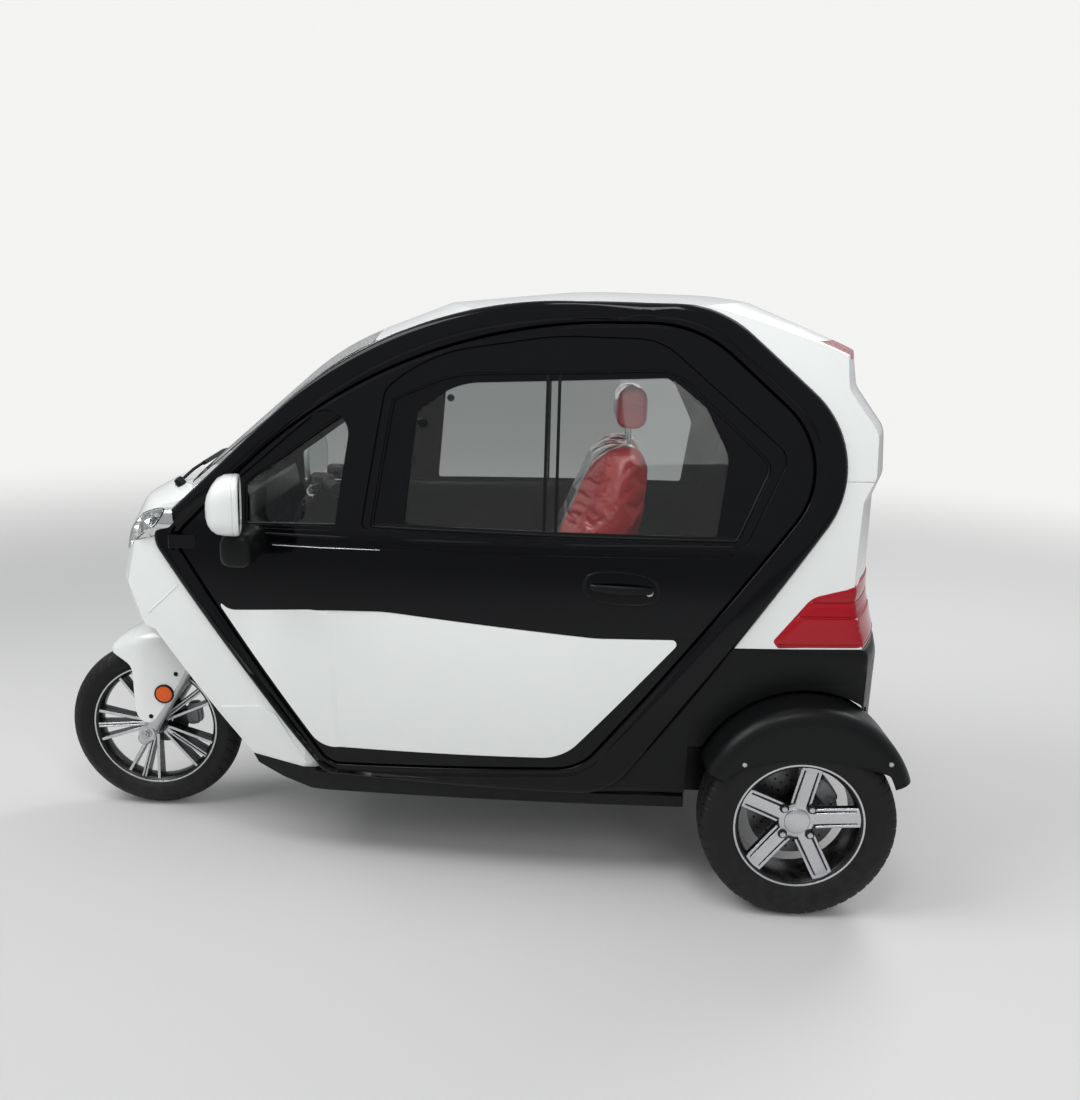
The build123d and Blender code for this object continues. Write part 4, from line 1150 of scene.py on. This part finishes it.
def lampGrid(levels, lift, front=0, back=0, count=40):
    # rows over the lamp's face between its slanted front edge and its back edge
    rows = []
    for z in levels:
        near = tailAngle(z, y=between(tailLook["lampFront"], z) + front)
        far = tailAngle(z, x=tailLook["lampBack"] + back)
        rows.append([tailSkin(near + (far - near) * step / count, z, lift(step / count, z))
                     for step in range(count + 1)])
    return rows


def makeTailLamps():
    # a deep red lens in three steps with a dark seam between its halves
    levels = tailLook["levels"]

    def lift(t, z):
        rim = min(1, min(t, 1 - t) / 0.03)
        return between(tailLook["proud"], z) * rim - 0.0012 * (1 - rim)

    lens = walled("left_tail_lens", lampGrid(levels, lift), lampGrid(levels, lambda t, z: -0.02))
    bothSides(smoothed(lens, 24), "car_body", "lamp_red", ["tail_lamps"])
    bands = []
    for low, high, proudBy in tailLook["bands"]:
        top = lampGrid([low, high], lambda t, z: proudBy, 0.008, 0.006)
        under = lampGrid([low, high], lambda t, z: -0.001, 0.008, 0.006)
        bands.append(walled("band", top, under))
    bothSides(smoothed(joined("left_tail_lens_bands", bands), 40), "car_body", "lamp_dark", slot="lamp_red")


bumperLook = {
    # height, then how far of the bulge shows there
    "bulge": [(0.596, -0.12), (0.606, 0.02), (0.622, 0.16), (0.642, 0.55), (0.66, 0.9), (0.674, 1), (0.686, 0.86),
              (0.6935, 0.4), (0.6955, 0.02)],
    "proud": 0.0075, "front": 0.7, "back": 0.27,
    "spread": [(0, 0), (0.15, 0.1), (0.35, 0.45), (0.55, 0.85), (0.7, 1), (0.8, 0.8), (0.92, 0.2), (1, 0)],
}


def makeBumperBulge():
    # the bumper swells under the lamps and fades into its side and back
    look = bumperLook
    top, under = [], []
    for z, share in look["bulge"]:
        near, far = tailAngle(z, y=look["front"]), tailAngle(z, x=look["back"])
        angles = steps(near, far, 60)
        lifts = [0.0004 + look["proud"] * share * between(look["spread"], t) - (0.0016 if t in (0, 1) else 0)
                 for t in steps(0, 1, 60)]
        top.append([tailSkin(angle, z, lift) for angle, lift in zip(angles, lifts)])
        under.append([tailSkin(angle, z, -0.0035) for angle in angles])
    bothSides(smoothed(walled("left_bumper_bulge", top, under), 50), "car_body", "satin_black")


makeMudguards()
makeTailLamps()
makeBumperBulge()
print("rear end made")

# front mudguard: a rounded cap over the wheel with a deep plate each side
fenderLook = {
    # y, half width, top height, lower edge
    "stations": metres([(-1052, 22, 508, 504), (-1050, 38, 513, 500), (-1045, 50, 519, 498),
                        (-1036, 60, 529, 494.5), (-1020, 70.5, 543, 488.5), (-1000, 82.5, 556, 481.5),
                        (-985, 92, 564, 476), (-974, 98.5, 569, 469), (-969, 101, 571, 460),
                        (-966.5, 102.2, 572, 448), (-965, 103, 573, 420), (-964, 103.5, 573.5, 380),
                        (-963, 104, 574, 345), (-960, 105.2, 575, 328), (-954, 107.5, 577, 315),
                        (-944, 110, 580, 304), (-932, 111.5, 583, 298.5), (-920, 112, 586, 297.5),
                        (-910, 112, 587.5, 301), (-900, 112, 588.5, 310), (-890, 112, 589, 324),
                        (-870, 112, 589, 354), (-850, 112, 588, 385), (-830, 112, 586.5, 417),
                        (-813, 112, 585, 446), (-800, 112, 583, 475), (-785, 112, 580, 505), (-760, 112, 574, 515),
                        (-715, 112, 515, 505)]),
    "roll": 0.055, "wall": 0.0035,
    "bolts": [(-0.834, 0.452), (-0.914, 0.318)], "reflector": (-0.871, 0.39),
    "bolt": metres([(0, 0), (0, 6.8), (1.8, 6.2), (3, 4), (1.2, 3), (1.2, 0)]),
    "ring": metres([(0, 24), (6, 24.5), (6.8, 26.2), (5, 28.5), (0, 29)]),
    "lens": metres([(0, 24.5), (5, 24.4), (6.2, 18), (5.6, 17.2), (6.6, 10), (6, 9.2), (6.9, 0), (0, 0)]),
}
sides = (("left", 1), ("right", -1))


def spunSide(name, profile, side, centre, steps):
    # an outline turned about an axle that points outwards on this side
    return spunOutline(name, [(side * along, r) for along, r in profile], centre, steps)


def makeFrontMudguard():
    look = fenderLook
    top, under = [], []
    for y, wide, high, low in look["stations"]:
        roll = min(look["roll"], high - low)
        for rows, shrink in ((top, 0), (under, look["wall"])):
            row = []
            for step in range(-24, 25):
                t = abs(step) / 24
                side = 1 if step > 0 else -1
                if t < 0.6:
                    turn = t / 0.6 * pi / 2
                    x, z = wide * sin(turn) ** 0.75, high - roll * (1 - cos(turn) ** 0.75)
                else:
                    x, z = wide, high - roll - (high - roll - low) * (t - 0.6) / 0.4
                away = max(0, 1 - shrink / wide)
                ahead = shrink * 0.5 if y < -1.04 else 0
                row.append((side * x * away, y + ahead, z - shrink * (1 - min(1, t / 0.6))))
            rows.append(row)
    guard = walled("front_mudguard_skin", top, under)
    settled(smoothed(guard, 48), "steering", "body_white", "front_mudguard")
    for name, side in sides:
        bolts = [spunSide("bolt", look["bolt"], side, (side * 0.112, y, z), 20) for y, z in look["bolts"]]
        settled(smoothed(joined(name + "_mudguard_bolts", bolts), 40), "steering", "satin_black")
        spot = (side * 0.112, *look["reflector"])
        ring = spunSide(name + "_reflector_ring", look["ring"], side, spot, 48)
        settled(smoothed(ring, 40), "steering", "satin_black")
        lens = spunSide(name + "_reflector", look["lens"], side, spot, 48)
        settled(smoothed(lens, 30), "steering", "reflector_orange", slot="lamp_red")


forkLook = {
    "rake": 31, "legX": 0.082, "axle": (-0.933, 0.258),
    "lug": metres([(-20, 0), (-20, 23.5), (17, 25), (21.5, 24), (22.5, 20.5), (22.5, 0)]),
    "washer": metres([(22.5, 0), (22.5, 16.5), (24.5, 16.5), (24.5, 0)]),
    "nut": metres([(24, 0), (24, 12.5), (32, 12.5), (34.5, 10.5), (34.5, 7), (38.5, 6.2), (39, 0)]),
    # along the leg from the axle, radius
    "sleeve": metres([(-42, 0), (-42, 8), (-40, 14), (-36, 18), (-29, 21.2), (-10, 22.2), (50, 21.6), (200, 21),
                      (226, 21), (229, 23.2), (242, 23.2), (244, 21.5), (248, 21.2), (250, 18), (250, 0)]),
}


def makeForkSleeves():
    look = forkLook
    lean = radians(look["rake"])
    for name, side in sides:
        foot = (side * look["legX"], *look["axle"])
        parts = [spunOutline("sleeve", look["sleeve"], foot, 48, axis=(0, sin(lean), cos(lean))),
                 spunSide("lug", look["lug"], side, foot, 48)]
        settled(smoothed(joined(name + "_fork_sleeve", parts), 40), "steering", "fork_silver", slot="wheel_alloy")
        parts = [spunSide("washer", look["washer"], side, foot, 36), spunSide("nut", look["nut"], side, foot, 6)]
        settled(smoothed(joined(name + "_axle_nut", parts), 30), "steering", "bright_steel")


# nose: turned about an upright axis; lamps with a clear lens over a bright bowl
noseLook = {
    "axisY": -0.5, "profile": [(348, 270, 5), (476, 765, 25), (455, 890, 160), (405, 985, 60), (300, 1045, 5),
                                 (0, 1045, 5), (0, 270, 5)],
    "lamp": [(95, 838, 15), (225, 852, 60), (306, 935, 18), (300, 990, 20), (200, 948, 70)],
    "bulbs": [(0.252, 0.922, 0.03), (0.178, 0.893, 0.022)],  # x, z and radius
    # distance forward, then share of the radius
    "bowl": [(-0.002, 0), (0.001, 0.3), (0.006, 0.62), (0.013, 0.9), (0.016, 1), (0.014, 1.06), (0, 1.06)],
    "bulb": [(0, 0), (0, 0.4), (0.006, 0.46), (0.011, 0.38), (0.0145, 0.2), (0.0155, 0)],
    "strip": metres([(118, 847), (215, 862), (262, 897), (292, 938), (293, 972)]),
}
noseRadii = sorted((z, r) for r, z in outline(noseLook["profile"], arcs=10, edges=4) if r > 0.25)


def noseSkin(x, z, lift=0):
    r = between(noseRadii, z) + lift
    return (x, noseLook["axisY"] - sqrt(max(r * r - x * x, 0.0001)), z)


def nosePlate(name, edge, holes, low, high, step=0.012):
    return formedPlate(name, edge, holes, noseSkin, lambda p: (p[0], -1.15, p[1]), (0, 0.6, 0), low, high, step)


def makeHeadlights():
    look = noseLook
    edge = outline(look["lamp"], -0.4, arcs=8, edges=6)
    inner = outline(look["lamp"], -5, arcs=8, edges=6)
    lens = nosePlate("left_headlight_lens", edge, [], -0.003, 0)
    bothSides(lens, "car_body", "lamp_lens", ["headlights"], slot="lamp_clear")
    wall = nosePlate("left_headlight_housing", edge, [inner], -0.026, -0.0035)
    back = nosePlate("back", edge, [], -0.03, -0.026)
    bothSides(joined("left_headlight_housing", [wall, back]), "car_body", "lamp_chrome", slot="lamp_clear")
    bowls, bulbs = [], []
    for x, z, r in look["bulbs"]:
        spot = noseSkin(x, z, -0.026)
        for parts, key, count in ((bowls, "bowl", 40), (bulbs, "bulb", 32)):
            profile = [(along, r * share) for along, share in look[key]]
            parts.append(spunOutline(key, profile, spot, count, axis=(0, -1, 0)))
    bothSides(smoothed(joined("left_headlight_bowls", bowls), 50), "car_body", "lamp_chrome", slot="lamp_clear")
    bothSides(smoothed(joined("left_headlight_bulbs", bulbs), 50), "car_body", "lamp_lens", slot="lamp_clear")
    strip = tubeAlong("left_headlight_strip", [noseSkin(x, z, -0.01) for x, z in look["strip"]], 0.004, closed=False)
    bothSides(strip, "car_body", "strip_white", slot="lamp_clear")


wiperLook = {
    # x, z and height over the screen
    "arm": [(0.19, 1.03, 0.02), (0.105, 1.062, 0.022), (0.02, 1.085, 0.016)],
    "blade": [(0.175, 1.09), (-0.02, 1.098), (-0.215, 1.09)],
    "pivot": metres([(0, 0), (0, 14), (18, 13), (22, 10), (24, 0)]),
    "screenY": 0.4, "screen": [(0.24, 1.36), (1, 1.206), (1.2, 0.99), (1.42, 0.735)],
}


def screenSkin(x, z, lift=0):
    r = between(wiperLook["screen"], z) + lift
    return (x, wiperLook["screenY"] - sqrt(r * r - x * x), z)


def makeWiper():
    look = wiperLook
    base = screenSkin(*look["arm"][0][:2], 0.004)
    parts = [tubeAlong("arm", [screenSkin(*place) for place in look["arm"]], 0.0045, closed=False),
             spunOutline("pivot", look["pivot"], base, 24, axis=(0, -0.6, 0.8))]
    for lift, radius in ((0.01, 0.006), (0.003, 0.0026)):
        parts.append(tubeAlong("blade", [screenSkin(x, z, lift) for x, z in look["blade"]], radius, closed=False))
    settled(smoothed(joined("wiper", parts), 40), "car_body", "satin_black")


# seats: shapes that the cloth step fills out
seatLook = {
    "voxel": 0.006, "pressure": 4, "cap": 0.022, "frames": 20,
    # share of the half width, then share of the outline there
    "ends": [(1, 0.05), (1, 0.7), (0.985, 0.9), (0.94, 0.975), (0.86, 1)],
    # the pads' outlines in the side view, in millimetres
    "cushion": [(-52, 600, 24), (-52, 664, 30), (60, 668, 200), (330, 660, 120), (392, 656, 24), (392, 600, 20)],
    "back": [(222, 690, 36), (296, 912, 300), (408, 1166, 28), (504, 1176, 24), (492, 960, 100), (394, 690, 20)],
    "headrest": [(428, 1208, 30), (434, 1322, 34), (516, 1324, 34), (514, 1206, 30)],
    "bench": [(712, 592, 14), (712, 664, 24), (938, 664, 24), (938, 592, 14)],
    "benchBack": [(962, 590, 12), (962, 990, 22), (1002, 990, 16), (1002, 590, 12)],
    # piece, outline, half width, node, fill
    "pads": [("seat_cushion_pad", "cushion", 0.222, "seat_cushion", 0.6),
             ("seat_back_pad", "back", 0.212, "seat_back", 0.7), ("headrest_pad", "headrest", 0.1, "headrest", 0.8),
             ("rear_bench_pad", "bench", 0.338, "rear_bench", 0.6),
             ("rear_bench_back_pad", "benchBack", 0.32, "rear_bench", 0.6)],
    # where the seams run across, and up the back
    "seamX": {"cushion": 0.128, "back": 0.128, "bench": 0.22}, "seamZ": (0.97, 0.8), "patchX": 0.128,
    "rod": metres([(0, 0), (0, 6), (60, 6), (60, 0)]), "rodAt": (0.06, 0.47, 1.16),
}


def padBody(name, table, half):
    # the side outline pushed across the car, with its ends pulled in
    points = outline(table, arcs=6, edges=5)
    middle = (sum(p[0] for p in points) / len(points), sum(p[1] for p in points) / len(points))
    rows = []
    ends = seatLook["ends"]
    for x, shrink in [(-x, shrink) for x, shrink in ends] + [(0, 1)] + ends[::-1]:
        row = [(x * half, middle[0] + (p[0] - middle[0]) * shrink, middle[1] + (p[1] - middle[1]) * shrink)
               for p in points]
        rows.append(row + row[:1])
    pad = surfaceThrough(name, rows)
    focus(pad)
    bpy.ops.object.mode_set(mode="EDIT")
    bpy.ops.mesh.select_all(action="DESELECT")
    bpy.ops.mesh.select_non_manifold()
    bpy.ops.mesh.edge_face_add()
    bpy.ops.object.mode_set(mode="OBJECT")
    return tidyMesh(pad)


def filledOut(pad):
    # voxel remesh, then cloth under pressure, capped; the one subdivision comes later, in makeSeats
    look = seatLook
    modified(pad, "REMESH", mode="VOXEL", voxel_size=look["voxel"])
    start = [vertex.co.copy() for vertex in pad.data.vertices]
    focus(pad)
    cloth = pad.modifiers.new("cloth", "CLOTH")
    cloth.settings.use_pressure = True
    cloth.settings.uniform_pressure_force = look["pressure"]
    cloth.settings.effector_weights.gravity = 0
    cloth.point_cache.frame_start, cloth.point_cache.frame_end = 1, look["frames"]
    for number in range(1, look["frames"] + 1):
        bpy.context.scene.frame_set(number)
    bpy.ops.object.modifier_apply(modifier=cloth.name)
    bpy.context.scene.frame_set(1)
    for vertex, before in zip(pad.data.vertices, start):
        moved = vertex.co - before
        if moved.length > look["cap"]:
            vertex.co = before + moved * (look["cap"] / moved.length)
    return pad


def seamed(pad, seams, depth=0.005, width=0.01):
    # sewn channels: each seam says how far a point is from it, and the surface sinks there
    normals = [vertex.normal.copy() for vertex in pad.data.vertices]
    for vertex, normal in zip(pad.data.vertices, normals):
        near = min(seam(vertex.co) for seam in seams)
        if near < width:
            vertex.co -= normal * depth * (1 - near / width) ** 2
    return pad


def patched(pad, inside, finish):
    # the centre of the pad takes a second finish
    pad.data.materials.append(paints[finish])
    for face in pad.data.polygons:
        face.material_index = 1 if inside(face.center, face.normal) else 0
    return pad


def makeSeats():
    patchX, seamX, (upper, lower) = seatLook["patchX"], seatLook["seamX"], seatLook["seamZ"]
    for name, key, half, node, fill in seatLook["pads"]:
        pad = filledOut(padBody(name, seatLook[key], half))
        if key in seamX:
            seamed(pad, [lambda p: abs(abs(p.x) - seamX[key])])
        if key == "back":
            seamed(pad, [lambda p: min(abs(p.z - upper), abs(p.z - lower)) if abs(p.x) < patchX else 1])
        modified(pad, "SUBSURF", levels=1, render_levels=1)
        settled(pad, "car_body", "seat_cloth", node)
        if key == "cushion":
            patched(pad, lambda c, n: abs(c.x) < patchX and n.z > 0.3, "seat_patch")
        if key == "back":
            patched(pad, lambda c, n: abs(c.x) < patchX and n.y < -0.3, "seat_patch")
        smoothed(pad, 60)
    x, y, z = seatLook["rodAt"]
    rods = [spunOutline("rod", seatLook["rod"], (side * x, y, z), 20, axis=(0, 0, 1)) for side in (-1, 1)]
    settled(smoothed(joined("headrest_rods", rods), 40), "car_body", "bright_steel")


controlLook = {
    # from the end of the grip, then radius: its inner end, one rib, its outer end
    "gripEnd": metres([(0, 0), (0, 20), (-6, 21.5), (-10, 18)]),
    "gripRib": [(-0.012, 0.0176), (-0.015, 0.019), (-0.018, 0.0176)], "ribs": 12, "ribStep": 0.0072,
    "gripFoot": metres([(-104, 18), (-107, 22), (-111, 22), (-112, 0)]),
    # in from the bar's end, then y and z from the grip
    "lever": [(0.125, -0.075, -0.004), (0.11, -0.1, -0.01), (0.06, -0.098, -0.016), (0.01, -0.08, -0.02),
              (0, -0.066, -0.018)],
    # y, half width and height of the display's hood
    "hood": metres([(-35, 78, 30), (-20, 92, 44), (0, 96, 52), (26, 98, 54), (30, 94, 50), (18, 88, 46)]),
    # corners of a switch pod, in from the bar's end, then from the grip
    "pod": [(0.165, -0.1, -0.022), (0.118, -0.044, 0.02)],
    # corners of the screen, from the hood's middle and the dashboard's top
    "screen": [(-0.082, 0.004, -0.002), (0.082, 0.01, 0.04)],
    # from the corner of the handlebar to its middle line, the run of a grip, the lever's radius
    "bar": 0.016, "gripRun": (0.1, 0.047, 0.002), "leverRadius": 0.0052, "hoodIn": (0.05, 0.004),
}


def makeControls():
    # rubber grips, levers and switches on the bar, and a hooded display on the dashboard
    look = controlLook
    reach, gripY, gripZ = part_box("handlebar")[1]
    gripY, gripZ = gripY - look["bar"], gripZ - look["bar"]
    runX, runY, runZ = look["gripRun"]
    podIn, podOut = look["pod"]
    for name, side in sides:
        profile = look["gripEnd"] + [(along - index * look["ribStep"], r) for index in range(look["ribs"])
                                     for along, r in look["gripRib"]] + look["gripFoot"]
        end = (side * (reach + 0.001), gripY, gripZ)
        start = (side * (reach - runX), gripY - runY, gripZ - runZ)
        axis = (Vector(end) - Vector(start)).normalized()
        grip = spunOutline(name + "_grip", profile, end, 32, axis=tuple(axis))
        settled(smoothed(grip, 50), "steering", "satin_black")
        lever = [(side * (reach - inward), gripY + y, gripZ + z) for inward, y, z in look["lever"]]
        lever = tubeAlong(name + "_brake_lever", lever, look["leverRadius"], closed=False)
        settled(lever, "steering", "bright_steel")
        near, far = sorted((side * (reach - podIn[0]), side * (reach - podOut[0])))
        pod = block(name + "_switch_pod", (near, gripY + podIn[1], gripZ + podIn[2]),
                    (far, gripY + podOut[1], gripZ + podOut[2]), 0.008, 3)
        settled(pod, "steering", "trim_grey", slot="satin_black")
    inY, inZ = look["hoodIn"]
    y0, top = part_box("dashboard")[1][1] - inY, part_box("dashboard")[1][2]
    rows = [[(a * wide, y0 + y, top - inZ + max(0, b) * tall) for a, b in squircles(32, 0.7, pi)]
            for y, wide, tall in look["hood"]]
    hood = modified(surfaceThrough("display_hood", rows), "SOLIDIFY", thickness=0.003, offset=0)
    settled(smoothed(hood, 40), "car_body", "trim_grey", slot="satin_black")
    corners = [(x, y0 + y, top + z) for x, y, z in look["screen"]]
    screen = block("display_glass", *corners, 0.003, 3)
    settled(screen, "car_body", "gloss_black")


makeFrontMudguard()
makeForkSleeves()
makeHeadlights()
makeWiper()
print("front end made")
makeSeats()
print("seats made")
makeControls()
print("cabin made")

# creases of the nose
creaseLook = {
    "chin": [(-642, 428, 6), (-640, 434, 3), (-528, 450, 3), (-480, 430, 5), (-395, 285, 5), (-455, 284, 20),
             (-545, 300, 30)],
    "ridge": [(-842, 686), (-815, 712), (-793, 732), (-770, 754), (-748, 774)],
}


def makeNoseCreases():
    look = creaseLook
    chin = sidePlate("left_nose_chin", look["chin"], low=-0.0075,
                     high=lambda y, z: -0.004 + 0.0042 * kept((z - 0.3) / 0.135, 0, 1), step=0.012)
    bothSides(beveled(chin, 0.0008, 2, 40), "car_body", "body_white")
    ridge = [onSide(y / 1000, z / 1000, -0.0055) for y, z in look["ridge"]]
    bothSides(tubeAlong("left_nose_ridge", ridge, 0.003, closed=False, smooth=12), "car_body", "body_white")


springLook = {"x": 0.262, "y": 0.915, "low": 0.328, "high": 0.492, "turns": 6.5, "radius": 0.03, "wire": 0.0046}


def makeSprings():
    # a coil round the damper
    look = springLook
    count = int(look["turns"] * 24)
    places = []
    for step, z in enumerate(steps(look["low"], look["high"], count)):
        angle = 2 * pi * step / 24
        places.append((look["x"] + look["radius"] * cos(angle), look["y"] + look["radius"] * sin(angle), z))
    coil = tubeAlong("left_spring_coil", places, look["wire"], closed=False)
    bothSides(coil, "car_body", "rim_black", slot="bright_steel")


makeNoseCreases()
makeSprings()
print("creases and springs made")
